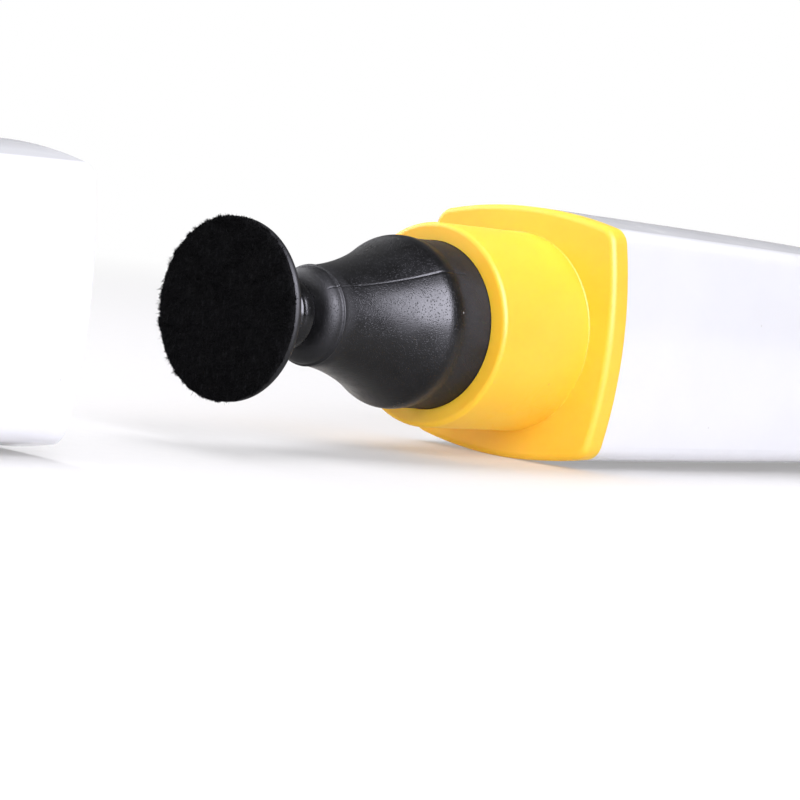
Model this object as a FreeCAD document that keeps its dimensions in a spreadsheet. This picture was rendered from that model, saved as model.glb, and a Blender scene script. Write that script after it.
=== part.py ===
"""Lens cleaning pen, as a parametric FreeCAD document.

A square pen with softly bulged sides. A velour cleaning disc sits on a rubber holder in a
coloured collar at one end, under a pull-off cap. A hair brush slides out of the other end.

Every sub-part is drawn on the pen's own axis: X runs from the face of the cleaning disc
(X = 0) to the brush end, and the cap is drawn where it sits when the pen is closed. Each
sub-part's Placement then lays the pen on its underside, with Z = 0 the surface below it, and
parks the cap in front of the disc. Lengths are in millimetres.
"""

import FreeCAD, Part
import os
import Sketcher
from FreeCAD import Vector
from math import atan2, hypot, pi, sqrt

# Every size that can be set by itself. Outlines and places below are worked out from these.
SIZES = {
    # overall
    "half_width": 9.02,            # centre to the middle of a side, at the collar
    "side_bulge": 1.0,             # how far the middle of a side stands out past its corners
    "corner_round": 1.4,           # radius of the lengthwise corners
    "body_length": 72.0,           # white body, from the collar's rim to the brush end
    "tip_reach": 20.0,             # disc face to the front of the collar's ring
    "park_gap": 20.0,              # the taken-off cap lies this far in front of the disc
    # fits
    "seat_clearance": 0.03,        # fixed pieces in their seats
    "slide_clearance": 0.06,       # pieces that slide or swivel in each other
    "plug_clearance": 0.05,        # square plugs in the hollow body
    # body shell
    "shell_wall": 1.2,
    "body_taper": 0.7,             # even narrowing over the body's length
    "body_sweep": 3.22,            # and the further narrowing that gathers near its end
    "end_wall": 2.4,
    "end_round": 0.5,
    "tail_wall": 0.7,
    # collar
    "ring_length": 9.3,
    "ring_wall": 1.25,
    "ring_round": 0.35,
    "ring_foot": 0.08,             # fillet where the ring meets the rim
    "rim_thickness": 1.6,
    "rim_round": 0.45,
    "plug_length": 6.0,
    "plug_wall": 1.3,
    "seat_depth": 7.6,             # how deep the holder sits in the ring
    "web_thickness": 4.2,
    # rubber holder
    "holder_front": 7.0,           # front of the neck, behind the disc's hub
    "neck_radius": 3.34,
    "neck_round": 0.95,
    "neck_length": 1.3,
    "waist_reach": 15.6,
    "waist_radius": 5.74,
    "waist_sweep": 20.5,
    "shoulder_reach": 16.4,
    "shoulder_rise": 0.1,
    "shoulder_sweep": 1.6,
    "shoulder_land": 0.5,
    # holder core and its clip
    "core_radius": 2.3,
    "core_tail": 3.0,
    "clip_thickness": 0.8,
    "clip_width": 1.7,
    "groove_depth": 0.35,
    # cleaning tip
    "disc_margin": 1.12,           # disc is this much smaller than the collar's ring
    "pad_thickness": 0.5,
    "pad_round": 0.2,
    "pad_overhang": 0.05,
    "disc_thickness": 0.65,
    "disc_back": 1.2,
    "hub_radius": 2.2,
    "bead_radius": 1.18,           # roundness of the bead at the hub's end
    "bead_length": 1.9,
    "bead_step": 0.3,
    "bead_gap": 0.4,               # crease between the hub and the holder
    "stem_radius": 0.85,
    "stem_reach": 2.6,
    "ball_radius": 1.3,
    "ball_inset": 0.6,
    # cap
    "cap_taper": 0.73,
    "cap_wall": 1.1,
    "cap_end_wall": 2.2,
    "cap_end_round": 0.7,
    "badge_margin": 2.56,
    "badge_recess": 0.35,
    "badge_thickness": 0.65,
    "badge_round": 0.15,
    "liner_wall": 0.51,
    "liner_inset": 0.3,
    # carbon pad in the cap
    "carbon_gap": 1.25,            # carbon pad to the disc's face when closed
    "carbon_thickness": 1.4,
    "foam_thickness": 1.56,
    "foam_clearance": 0.05,
    "cup_wall": 0.7,
    "cup_floor": 0.8,
    "cup_depth": 1.0,
    "cup_margin": 0.3,
    # brush guide
    "guide_gap": 0.6,
    "guide_wall": 0.7,
    "guide_start": 0.6,
    "guide_end": 22.0,             # back from the brush end
    "flange_thickness": 1.5,
    # slider and brush
    "brush_travel": 20.0,
    "slot_start": 5.4,             # after the front of the guide
    "slot_width": 3.4,
    "slot_gap": 0.3,
    "slot_round": 1.0,
    "neck_width": 2.8,
    "neck_span": 6.0,
    "button_gap": 0.2,
    "button_span": 13.0,
    "button_width": 7.4,
    "button_height": 1.1,
    "button_round": 1.6,
    "button_edge": 0.35,
    "rib_count": 5,
    "rib_pitch": 1.7,
    "rib_width": 0.8,
    "rib_height": 0.45,
    "rib_round": 0.24,
    "rib_margin": 1.2,
    "carriage_span": 16.0,
    "carriage_lead": 2.0,
    "neck_seat": 1.6,
    "rod_span": 13.5,
    "spring_span": 9.0,
    "spring_width": 2.4,
    "spring_thickness": 0.25,
    "spring_bow": 0.5,
    "spring_pocket": 1.2,
    "ferrule_gap": 0.4,
    "ferrule_wall": 0.35,
    "ferrule_span": 16.0,
    "ferrule_lap": 4.0,
    "glue_span": 2.0,
    "hair_inset": 1.5,             # hair tips to the brush end when drawn in
    "hair_flare": 0.2,
    "hair_tip": 1.3,
    "ring_sleeve": 5.0,
    "tail_ring_wall": 0.45,
    "tail_ring_lip": 0.25,
}

doc = FreeCAD.newDocument("LensCleaningPen")
sheet = doc.addObject("Spreadsheet::Sheet", "Sizes")
for row, (word, number) in enumerate(SIZES.items(), start=1):
    sheet.set(f"A{row}", word)
    sheet.set(f"B{row}", str(number))
    sheet.setAlias(f"B{row}", word)
doc.recompute()


def size(word):
    """Return the expression that reads one cell of the sheet."""
    return f"Sizes.{word}"


def value(expression):
    """Return the number that an expression has now."""
    return float(sheet.evalExpression(str(expression)))


# Places along the pen's axis.
RING_FRONT = size("tip_reach")
RIM_FRONT = f"({RING_FRONT} + Sizes.ring_length)"
BODY_FRONT = f"({RIM_FRONT} + Sizes.rim_thickness)"
BRUSH_END = f"({BODY_FRONT} + Sizes.body_length)"
CAP_TRAVEL = f"({RIM_FRONT} + Sizes.park_gap)"

# The cap is as long as the tip and the pad stack in front of it need.
CARBON_FRONT = "(-Sizes.carbon_gap)"
CARBON_BACK = f"({CARBON_FRONT} - Sizes.carbon_thickness)"
FOAM_FRONT = f"({CARBON_BACK} - Sizes.seat_clearance)"
FOAM_BACK = f"({FOAM_FRONT} - Sizes.foam_thickness)"
CUP_SEAT = f"({FOAM_BACK} - Sizes.seat_clearance)"
CUP_LOW = f"({CUP_SEAT} - Sizes.cup_floor)"
CAP_FLOOR = f"({CUP_LOW} - Sizes.seat_clearance)"
CAP_END = f"({CAP_FLOOR} - Sizes.cap_end_wall)"
CAP_LENGTH = f"({RIM_FRONT} - {CAP_END})"

PLUG_BACK = f"({BODY_FRONT} + Sizes.plug_length)"
GUIDE_FRONT = f"({PLUG_BACK} + Sizes.guide_start)"
GUIDE_BACK = f"({BRUSH_END} - Sizes.guide_end)"
SLOT_LOW = f"({GUIDE_FRONT} + Sizes.slot_start)"
NECK_LOW = f"({SLOT_LOW} + Sizes.slot_gap)"
NECK_HIGH = f"({NECK_LOW} + Sizes.neck_span)"
NECK_ROUND = "(Sizes.slot_round - Sizes.slot_gap)"
SLOT_HIGH = f"({NECK_HIGH} + Sizes.brush_travel + Sizes.slot_gap)"

SWEEP_POWER = 4
BODY_SECTIONS = 9


def body_half(along):
    """Return the body's half-width at a place along the axis, as an expression."""
    share = f"(({along} - {BODY_FRONT}) / Sizes.body_length)"
    return (f"(Sizes.half_width - Sizes.body_taper * {share}"
            f" - Sizes.body_sweep * {share} ^ {SWEEP_POWER})")


# Radii that follow from what the pieces fit into.
LINER_DEPTH = size("ring_length")
CAP_AT_LINER = f"(Sizes.half_width - Sizes.cap_taper * {LINER_DEPTH} / {CAP_LENGTH})"
LINER_OUTER = f"({CAP_AT_LINER} - Sizes.cap_wall - Sizes.seat_clearance)"
LINER_INNER = f"({LINER_OUTER} - Sizes.liner_wall)"
RING_RADIUS = f"({LINER_INNER} - Sizes.slide_clearance)"
ROOT_BORE = f"({RING_RADIUS} - Sizes.ring_wall)"
ROOT_RADIUS = f"({ROOT_BORE} - Sizes.seat_clearance)"
DISC_RADIUS = f"({RING_RADIUS} - Sizes.disc_margin)"
CORE_BORE = "(Sizes.core_radius + Sizes.seat_clearance)"
GUIDE_OUTER = f"({body_half(GUIDE_BACK)} - Sizes.shell_wall - Sizes.guide_gap)"
GUIDE_INNER = f"({GUIDE_OUTER} - Sizes.guide_wall)"
CARRIAGE_RADIUS = f"({GUIDE_INNER} - Sizes.slide_clearance)"
TAIL_BORE = f"({body_half(BRUSH_END)} - Sizes.tail_wall)"
TAIL_RING_INNER = f"({TAIL_BORE} - Sizes.seat_clearance - Sizes.tail_ring_wall)"
FERRULE_RADIUS = f"({TAIL_RING_INNER} - Sizes.ferrule_gap)"
FERRULE_BORE = f"({FERRULE_RADIUS} - Sizes.ferrule_wall)"
ROD_RADIUS = f"({FERRULE_BORE} - Sizes.seat_clearance)"
CUP_OUTER = f"({DISC_RADIUS} + Sizes.cup_margin)"
CUP_INNER = f"({CUP_OUTER} - Sizes.cup_wall)"
PLUG_HALF = f"({body_half(PLUG_BACK)} - Sizes.shell_wall - Sizes.plug_clearance)"

# The button's top stands this far from the axis.
BUTTON_UNDER = "(Sizes.half_width + Sizes.button_gap)"
BUTTON_TOP = f"({BUTTON_UNDER} + Sizes.button_height + Sizes.rib_height)"

# The frame's origin is the middle of the part's underside, with the cap parked.
PLACE_X = f"((Sizes.park_gap + {CAP_LENGTH} - {BRUSH_END} - Sizes.tail_ring_lip) / 2)"
PLACE_Y = f"(-({BUTTON_TOP} - Sizes.half_width) / 2)"

SAME_PLACE = 1e-4
SUB_PARTS = []


def place(sub_part, along=PLACE_X):
    """Lay a sub-part in the frame and list it for export."""
    sub_part.setExpression(".Placement.Base.x", along)
    sub_part.setExpression(".Placement.Base.y", PLACE_Y)
    sub_part.setExpression(".Placement.Base.z", size("half_width"))
    SUB_PARTS.append(sub_part)


def new_body(label, parked=False):
    """Make an empty body; a parked one belongs to the cap."""
    body = doc.addObject("PartDesign::Body", label)
    body.Label = label
    place(body, f"({PLACE_X} - {CAP_TRAVEL})" if parked else PLACE_X)
    return body


def new_sketch(body, name, role, offset="0"):
    """Make a sketch on one of the body's origin planes, moved along the plane's normal."""
    sketch = body.newObject("Sketcher::SketchObject", name)
    plane = next(item for item in body.Origin.OriginFeatures if item.Role == role)
    sketch.AttachmentSupport = [(plane, "")]
    sketch.MapMode = "FlatFace"
    if offset != "0":
        sketch.setExpression(".AttachmentOffset.Base.z", offset)
    return sketch


def bind(sketch, kind, geometry, expression, point=None):
    """Add a dimension to a sketch and bind it to the sheet."""
    if point is None:
        constraint = Sketcher.Constraint(kind, geometry, value(expression))
    else:
        constraint = Sketcher.Constraint(kind, -1, 1, geometry, point, value(expression))
    index = sketch.addConstraint(constraint)
    sketch.setExpression(f".Constraints[{index}]", expression)


def pin_point(sketch, geometry, point, x, y):
    """Fix a point of the sketch at x, y; an x or y of "0" puts it on the axis."""
    if x == "0":
        sketch.addConstraint(Sketcher.Constraint("PointOnObject", geometry, point, -2))
    else:
        bind(sketch, "DistanceX", geometry, x, point)
    if y == "0":
        sketch.addConstraint(Sketcher.Constraint("PointOnObject", geometry, point, -1))
    else:
        bind(sketch, "DistanceY", geometry, y, point)


def arc_between(start, end, radius, turn):
    """Return the arc from start to end; turn is +1 to go round anticlockwise, -1 clockwise."""
    chord = end - start
    half = chord.Length / 2
    rise = sqrt(max(radius * radius - half * half, 0.0))
    left = Vector(-chord.y, chord.x, 0).normalize()
    centre = (start + end) / 2 + left * rise * turn
    first, last = (start, end) if turn > 0 else (end, start)
    angles = [atan2(spot.y - centre.y, spot.x - centre.x) for spot in (first, last)]
    if angles[1] <= angles[0]:
        angles[1] += 2 * pi
    circle = Part.Circle(centre, Vector(0, 0, 1), radius)
    return Part.ArcOfCircle(circle, *angles)


def draw_outline(sketch, corners):
    """Draw a closed outline.

    Each corner is (x, y), joined to the next by a line, or (x, y, radius, turn), joined to it
    by an arc of that radius. Every x, y and radius is an expression.
    """
    spots = [Vector(value(corner[0]), value(corner[1]), 0) for corner in corners]
    ends = []
    for index, corner in enumerate(corners):
        start, end = spots[index], spots[(index + 1) % len(spots)]
        if len(corner) == 2:
            edge = sketch.addGeometry(Part.LineSegment(start, end), False)
            ends.append((edge, 1, 2))
        else:
            radius, turn = corner[2:]
            edge = sketch.addGeometry(arc_between(start, end, value(radius), turn), False)
            ends.append((edge, 1, 2) if turn > 0 else (edge, 2, 1))
    for index, corner in enumerate(corners):
        edge, start_point, _ = ends[index]
        before, _, end_point = ends[index - 1]
        joint = Sketcher.Constraint("Coincident", before, end_point, edge, start_point)
        sketch.addConstraint(joint)
        pin_point(sketch, edge, start_point, corner[0], corner[1])
        if len(corner) > 2:
            bind(sketch, "Radius", edge, corner[2])


def draw_circle(sketch, radius):
    """Draw a circle about the sketch's origin."""
    circle = Part.Circle(Vector(0, 0, 0), Vector(0, 0, 1), value(radius))
    edge = sketch.addGeometry(circle, False)
    sketch.addConstraint(Sketcher.Constraint("Coincident", edge, 3, -1, 1))
    bind(sketch, "Radius", edge, radius)


def draw_bulged_square(sketch, half):
    """Draw the pen's section: four bulged sides joined by tangent corner arcs.

    The bulge and the corner radius shrink with the half-width, so every section of the pen has
    the same shape.
    """
    share = f"({half} / Sizes.half_width)"
    bulge = f"(Sizes.side_bulge * {share})"
    flat = f"({half} - {bulge})"
    side_radius = f"(({flat} * {flat} + {bulge} * {bulge}) / (2 * {bulge}))"
    corner_radius = f"(Sizes.corner_round * {share})"
    inset = f"({half} - {side_radius})"
    side, corner, centre = value(side_radius), value(corner_radius), value(inset)
    middle = (centre + sqrt(2 * (side - corner) ** 2 - centre ** 2)) / 2
    lean = atan2(middle, middle - centre)
    sides, corners = [], []
    for quarter in range(4):
        turn = quarter * pi / 2
        out = Vector(1, 0, 0)
        along = Vector(0, 1, 0)
        spin = FreeCAD.Rotation(Vector(0, 0, 1), turn * 180 / pi)
        side_circle = Part.Circle(spin.multVec(out * centre), Vector(0, 0, 1), side)
        arc = Part.ArcOfCircle(side_circle, turn - lean, turn + lean)
        sides.append(sketch.addGeometry(arc, False))
        corner_centre = spin.multVec((out + along) * middle)
        corner_circle = Part.Circle(corner_centre, Vector(0, 0, 1), corner)
        arc = Part.ArcOfCircle(corner_circle, turn + lean, turn + pi / 2 - lean)
        corners.append(sketch.addGeometry(arc, False))
    for quarter in range(4):
        side_arc, corner_arc = sides[quarter], corners[quarter]
        next_side = sides[(quarter + 1) % 4]
        sketch.addConstraint(Sketcher.Constraint("Tangent", side_arc, 2, corner_arc, 1))
        sketch.addConstraint(Sketcher.Constraint("Tangent", corner_arc, 2, next_side, 1))
        shift = inset if quarter < 2 else f"(-{inset})"
        if quarter % 2 == 0:
            pin_point(sketch, side_arc, 3, shift, "0")
        else:
            pin_point(sketch, side_arc, 3, "0", shift)
        bind(sketch, "Radius", side_arc, side_radius)
        bind(sketch, "Radius", corner_arc, corner_radius)


def section(body, name, along, half):
    """Draw the pen's section across the axis, at one place along it."""
    sketch = new_sketch(body, name, "YZ_Plane", along)
    draw_bulged_square(sketch, half)
    return sketch


def feature(body, kind, name, profile):
    """Make a feature of the body from a sketch."""
    made = body.newObject(f"PartDesign::{kind}", name)
    made.Profile = profile
    profile.Visibility = False
    return made


def check_cut(body, before, name):
    """Stop if the last feature took nothing off the body."""
    doc.recompute()
    if body.Shape.Volume >= before - 1e-6:
        raise RuntimeError(f"{name} cut nothing")


def revolve(body, name, corners):
    """Turn an outline of (along, radius) corners about the pen's axis."""
    sketch = new_sketch(body, f"{name}_outline", "XZ_Plane")
    draw_outline(sketch, corners)
    turned = feature(body, "Revolution", name, sketch)
    turned.ReferenceAxis = (sketch, ["H_Axis"])
    turned.Angle = 360
    doc.recompute()


def groove(body, name, corners):
    """Cut an outline of (along, radius) corners, turned about the pen's axis."""
    before = body.Shape.Volume
    sketch = new_sketch(body, f"{name}_outline", "XZ_Plane")
    draw_outline(sketch, corners)
    cut = feature(body, "Groove", name, sketch)
    cut.ReferenceAxis = (sketch, ["H_Axis"])
    cut.Angle = 360
    check_cut(body, before, name)


def pad(body, name, sketch, length, backwards=False):
    """Raise a sketch by a length along its normal, or against it, and return the feature."""
    raised = feature(body, "Pad", name, sketch)
    raised.setExpression(".Length", length)
    raised.Reversed = backwards
    doc.recompute()
    return raised


def pocket(body, name, sketch, depth, backwards=False):
    """Cut a sketch into the body, against its normal, or along it when backwards."""
    before = body.Shape.Volume
    cut = feature(body, "Pocket", name, sketch)
    cut.setExpression(".Length", depth)
    cut.Reversed = backwards
    check_cut(body, before, name)


def loft(body, kind, name, sketches, straight=False):
    """Join sections into one skin, added to the body or cut from it."""
    before = body.Shape.Volume if kind == "SubtractiveLoft" else None
    skin = feature(body, kind, name, sketches[0])
    skin.Sections = sketches[1:]
    skin.Ruled = straight
    for sketch in sketches:
        sketch.Visibility = False
    doc.recompute()
    if before is not None:
        check_cut(body, before, name)


def round_edges(body, name, radius, chosen):
    """Round the edges of the body for which chosen(edge) is true."""
    base = body.Tip
    edges = [f"Edge{number}" for number, edge in enumerate(base.Shape.Edges, start=1)
             if chosen(edge)]
    rounded = body.newObject("PartDesign::Fillet", name)
    rounded.Base = (base, edges)
    rounded.setExpression(".Radius", radius)
    doc.recompute()


def at_plane(along, least_radius=0.0):
    """Choose edges that lie across the axis at one place and outside a radius."""
    spot = value(along)

    def chosen(edge):
        box = edge.BoundBox
        ends = [vertex.Point for vertex in edge.Vertexes]
        reach = min(hypot(point.y, point.z) for point in ends)
        in_plane = abs(box.XMin - spot) < SAME_PLACE and box.XLength < SAME_PLACE
        return in_plane and reach > least_radius + SAME_PLACE

    return chosen


def rounded_rectangle(x_low, x_high, half_height, radius):
    """Return the corners of a rectangle about the X axis, with rounded corners."""
    low, high = f"(-{half_height})", half_height
    inner_low, inner_high = f"({radius} - {half_height})", f"({half_height} - {radius})"
    left, right = f"({x_low} + {radius})", f"({x_high} - {radius})"
    return [(left, low), (right, low, radius, 1),
            (x_high, inner_low), (x_high, inner_high, radius, 1),
            (right, high), (left, high, radius, 1),
            (x_low, inner_high), (x_low, inner_low, radius, 1)]


# ---------------------------------------------------------------- body

def body_stations(end, wall):
    """Return (along, half-width) of even sections from the body's front to end, less a wall."""
    last = BODY_SECTIONS - 1
    places = [f"({BODY_FRONT} + ({end} - {BODY_FRONT}) * {number} / {last})"
              for number in range(BODY_SECTIONS)]
    return [(along, f"({body_half(along)} - {wall})") for along in places]


def slot_corners():
    """Return the outline of the slider's slot."""
    return rounded_rectangle(SLOT_LOW, SLOT_HIGH, "(Sizes.slot_width / 2)", size("slot_round"))


def make_body_shell():
    """Hollow tapering body, open at the collar end, with the slider's slot in one side."""
    body = new_body("body_shell")
    outside = [section(body, f"outer_{number}", *station)
               for number, station in enumerate(body_stations(BRUSH_END, "0"))]
    loft(body, "AdditiveLoft", "outer_skin", outside)
    hollow = body_stations(f"({BRUSH_END} - Sizes.end_wall)", size("shell_wall"))
    inside = [section(body, f"inner_{number}", *station)
              for number, station in enumerate(hollow)]
    loft(body, "SubtractiveLoft", "hollow", inside)
    tail = new_sketch(body, "tail_circle", "YZ_Plane", BRUSH_END)
    draw_circle(tail, TAIL_BORE)
    pocket(body, "tail_bore", tail, "(Sizes.end_wall * 2)")
    slot = new_sketch(body, "slot_outline", "XZ_Plane")
    draw_outline(slot, slot_corners())
    pocket(body, "slider_slot", slot, "(Sizes.half_width * 2)")
    round_edges(body, "end_rounding", size("end_round"),
                at_plane(BRUSH_END, value(TAIL_BORE)))
    return body


def make_tip_collar():
    """Coloured ring with its square rim, and the plug that holds it in the body."""
    body = new_body("tip_collar")
    rim = section(body, "rim_section", RIM_FRONT, size("half_width"))
    pad(body, "rim", rim, size("rim_thickness"))
    round_edges(body, "rim_rounding", size("rim_round"), at_plane(RIM_FRONT))
    plug = section(body, "plug_section", BODY_FRONT, PLUG_HALF)
    pad(body, "plug", plug, size("plug_length"))
    inside = f"({RIM_FRONT} + Sizes.rim_thickness / 2)"
    ring_edge = f"({RING_FRONT} + Sizes.ring_round)"
    foot = f"({RIM_FRONT} - Sizes.ring_foot)"
    revolve(body, "ring", [
        (RING_FRONT, "0"),
        (inside, "0"),
        (inside, f"({RING_RADIUS} + Sizes.ring_foot)"),
        (RIM_FRONT, f"({RING_RADIUS} + Sizes.ring_foot)", size("ring_foot"), -1),
        (foot, RING_RADIUS),
        (ring_edge, RING_RADIUS, size("ring_round"), 1),
        (RING_FRONT, f"({RING_RADIUS} - Sizes.ring_round)"),
    ])
    seat = f"({RING_FRONT} + Sizes.seat_depth)"
    web_back = f"({seat} + Sizes.web_thickness)"
    plug_bore = f"({PLUG_HALF} - Sizes.plug_wall)"
    groove(body, "bore", [
        (RING_FRONT, "0"),
        (PLUG_BACK, "0"),
        (PLUG_BACK, plug_bore),
        (web_back, plug_bore),
        (web_back, CORE_BORE),
        (seat, CORE_BORE),
        (seat, ROOT_BORE),
        (RING_FRONT, ROOT_BORE),
    ])
    return body


def make_tip_holder():
    """Rubber bell that swells from the narrow neck to its root in the collar."""
    neck_edge = "(Sizes.holder_front + Sizes.neck_round)"
    neck_back = "(Sizes.holder_front + Sizes.neck_length)"
    root_end = f"({RING_FRONT} + Sizes.seat_depth - Sizes.seat_clearance)"
    shoulder = f"({ROOT_RADIUS} + Sizes.shoulder_rise)"
    land = "(Sizes.shoulder_reach + Sizes.shoulder_land)"
    body = new_body("tip_holder")
    revolve(body, "bell", [
        (size("holder_front"), CORE_BORE),
        (root_end, CORE_BORE),
        (root_end, ROOT_RADIUS),
        (land, ROOT_RADIUS),
        (size("shoulder_reach"), shoulder, size("shoulder_sweep"), 1),
        (size("waist_reach"), size("waist_radius"), size("waist_sweep"), -1),
        (neck_back, size("neck_radius")),
        (neck_edge, size("neck_radius"), size("neck_round"), 1),
        (size("holder_front"), "(Sizes.neck_radius - Sizes.neck_round)"),
    ])
    return body


BALL_CENTRE = "(Sizes.holder_front + Sizes.ball_inset)"
SOCKET_RADIUS = "(Sizes.ball_radius + Sizes.slide_clearance)"
CORE_BACK = f"({RING_FRONT} + Sizes.seat_depth + Sizes.web_thickness + Sizes.core_tail)"
CLIP_LOW = f"({RING_FRONT} + Sizes.seat_depth + Sizes.web_thickness + Sizes.seat_clearance)"
CLIP_HIGH = f"({CLIP_LOW} + Sizes.clip_thickness)"


def make_holder_core():
    """Hard rod inside the rubber holder: the tip's socket in front, the clip's groove behind."""
    body = new_body("holder_core")
    groove_low = f"({CLIP_LOW} - Sizes.seat_clearance)"
    groove_high = f"({CLIP_HIGH} + Sizes.seat_clearance)"
    groove_radius = "(Sizes.core_radius - Sizes.groove_depth)"
    revolve(body, "rod", [
        (size("holder_front"), "0"),
        (CORE_BACK, "0"),
        (CORE_BACK, size("core_radius")),
        (groove_high, size("core_radius")),
        (groove_high, groove_radius),
        (groove_low, groove_radius),
        (groove_low, size("core_radius")),
        (size("holder_front"), size("core_radius")),
    ])
    mouth = f"sqrt({SOCKET_RADIUS} * {SOCKET_RADIUS} - Sizes.ball_inset * Sizes.ball_inset)"
    groove(body, "socket", [
        (size("holder_front"), "0"),
        (f"({BALL_CENTRE} + {SOCKET_RADIUS})", "0", SOCKET_RADIUS, 1),
        (size("holder_front"), mouth),
    ])
    return body


def make_core_clip():
    """Spring clip in the core's groove, behind the collar's web."""
    inner = "(Sizes.core_radius - Sizes.groove_depth + Sizes.seat_clearance)"
    outer = "(Sizes.core_radius + Sizes.clip_width)"
    body = new_body("core_clip")
    revolve(body, "washer", [
        (CLIP_LOW, inner), (CLIP_HIGH, inner), (CLIP_HIGH, outer), (CLIP_LOW, outer),
    ])
    return body


def make_guide_tube():
    """Tube inside the body that the brush carriage runs in, with a square flange at each end."""
    body = new_body("guide_tube")
    front_half = (f"({body_half(f'({GUIDE_FRONT} + Sizes.flange_thickness)')}"
                  f" - Sizes.shell_wall - Sizes.plug_clearance)")
    front = section(body, "front_section", GUIDE_FRONT, front_half)
    pad(body, "front_flange", front, size("flange_thickness"))
    rear_half = f"({body_half(GUIDE_BACK)} - Sizes.shell_wall - Sizes.plug_clearance)"
    rear = section(body, "rear_section", GUIDE_BACK, rear_half)
    revolve(body, "tube", [
        (GUIDE_FRONT, "0"), (GUIDE_BACK, "0"), (GUIDE_BACK, GUIDE_OUTER),
        (GUIDE_FRONT, GUIDE_OUTER),
    ])
    pad(body, "rear_flange", rear, size("flange_thickness"), backwards=True)
    groove(body, "bore", [
        (GUIDE_FRONT, "0"), (GUIDE_BACK, "0"), (GUIDE_BACK, GUIDE_INNER),
        (GUIDE_FRONT, GUIDE_INNER),
    ])
    slot = new_sketch(body, "slot_outline", "XZ_Plane")
    draw_outline(slot, slot_corners())
    pocket(body, "slider_slot", slot, "(Sizes.half_width * 2)")
    return body


def make_tail_ring():
    """Ring that lines the mouth the brush comes out of."""
    low = f"({BRUSH_END} - Sizes.ring_sleeve)"
    high = f"({BRUSH_END} + Sizes.tail_ring_lip)"
    outer = f"({TAIL_BORE} - Sizes.seat_clearance)"
    lip = size("tail_ring_lip")
    body = new_body("tail_ring")
    revolve(body, "sleeve", [
        (low, TAIL_RING_INNER),
        (f"({high} - {lip})", TAIL_RING_INNER, lip, -1),
        (high, f"({TAIL_RING_INNER} + {lip})"),
        (high, outer),
        (low, outer),
    ])
    return body


# ---------------------------------------------------------------- cleaning tip

def make_tip_cup():
    """Backing disc with the hub that carries it."""
    disc_front = size("pad_thickness")
    disc_back = "(Sizes.pad_thickness + Sizes.disc_thickness)"
    cone_back = f"({disc_back} + Sizes.disc_back)"
    bead_back = "(Sizes.holder_front - Sizes.bead_gap)"
    bead_front = f"({bead_back} - Sizes.bead_length)"
    stem_bore = "(Sizes.stem_radius + Sizes.seat_clearance)"
    stem_floor = size("stem_reach")
    body = new_body("tip_cup")
    revolve(body, "cup", [
        (disc_front, "0"),
        (stem_floor, "0"),
        (stem_floor, stem_bore),
        (bead_back, stem_bore),
        (bead_back, "(Sizes.hub_radius - Sizes.bead_step)", size("bead_radius"), 1),
        (bead_front, size("hub_radius")),
        (cone_back, size("hub_radius")),
        (disc_back, DISC_RADIUS),
        (disc_front, DISC_RADIUS),
    ])
    return body


def make_tip_pivot():
    """Stem that is fixed in the hub, with the ball that swivels in the core's socket."""
    low = "(Sizes.stem_reach + Sizes.seat_clearance)"
    neck = ("sqrt(Sizes.ball_radius * Sizes.ball_radius"
            " - Sizes.stem_radius * Sizes.stem_radius)")
    body = new_body("tip_pivot")
    revolve(body, "ball_stem", [
        (low, "0"),
        (f"({BALL_CENTRE} + Sizes.ball_radius)", "0", size("ball_radius"), 1),
        (f"({BALL_CENTRE} - {neck})", size("stem_radius")),
        (low, size("stem_radius")),
    ])
    return body


def make_chamois_pad():
    """Soft napped disc that wipes the lens."""
    radius = f"({DISC_RADIUS} + Sizes.pad_overhang)"
    edge = f"({radius} - Sizes.pad_round)"
    body = new_body("chamois_pad")
    revolve(body, "disc", [
        ("0", "0"),
        (size("pad_thickness"), "0"),
        (size("pad_thickness"), radius),
        (size("pad_round"), radius, size("pad_round"), 1),
        ("0", edge),
    ])
    return body


# ---------------------------------------------------------------- cap

CAP_END_HALF = "(Sizes.half_width - Sizes.cap_taper)"
BADGE_RADIUS = f"({CAP_END_HALF} - Sizes.badge_margin)"
BADGE_BACK = f"({CAP_END} + Sizes.badge_recess + Sizes.badge_thickness)"


def make_cap_shell():
    """Tapering square cap, with a round recess in its end."""
    body = new_body("cap_shell", parked=True)
    mouth = section(body, "mouth_section", RIM_FRONT, size("half_width"))
    end = section(body, "end_section", CAP_END, CAP_END_HALF)
    loft(body, "AdditiveLoft", "outer_skin", [mouth, end], straight=True)
    round_edges(body, "end_rounding", size("cap_end_round"), at_plane(CAP_END))
    floor_half = (f"(Sizes.half_width - Sizes.cap_taper"
                  f" * ({CAP_LENGTH} - Sizes.cap_end_wall) / {CAP_LENGTH}"
                  f" - Sizes.cap_wall)")
    mouth_inside = section(body, "mouth_inside", RIM_FRONT,
                           "(Sizes.half_width - Sizes.cap_wall)")
    floor_inside = section(body, "floor_inside", CAP_FLOOR, floor_half)
    loft(body, "SubtractiveLoft", "hollow", [mouth_inside, floor_inside], straight=True)
    recess = new_sketch(body, "recess_circle", "YZ_Plane", CAP_END)
    draw_circle(recess, f"({BADGE_RADIUS} + Sizes.seat_clearance)")
    pocket(body, "badge_recess", recess, "(Sizes.badge_recess + Sizes.badge_thickness)",
           backwards=True)
    return body


def make_cap_badge():
    """Plain round plate let into the cap's end."""
    front = f"({CAP_END} + Sizes.badge_recess)"
    edge = f"({BADGE_RADIUS} - Sizes.badge_round)"
    body = new_body("cap_badge", parked=True)
    revolve(body, "plate", [
        (front, "0"),
        (BADGE_BACK, "0"),
        (BADGE_BACK, BADGE_RADIUS),
        (f"({front} + Sizes.badge_round)", BADGE_RADIUS, size("badge_round"), 1),
        (front, edge),
    ])
    return body


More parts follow.
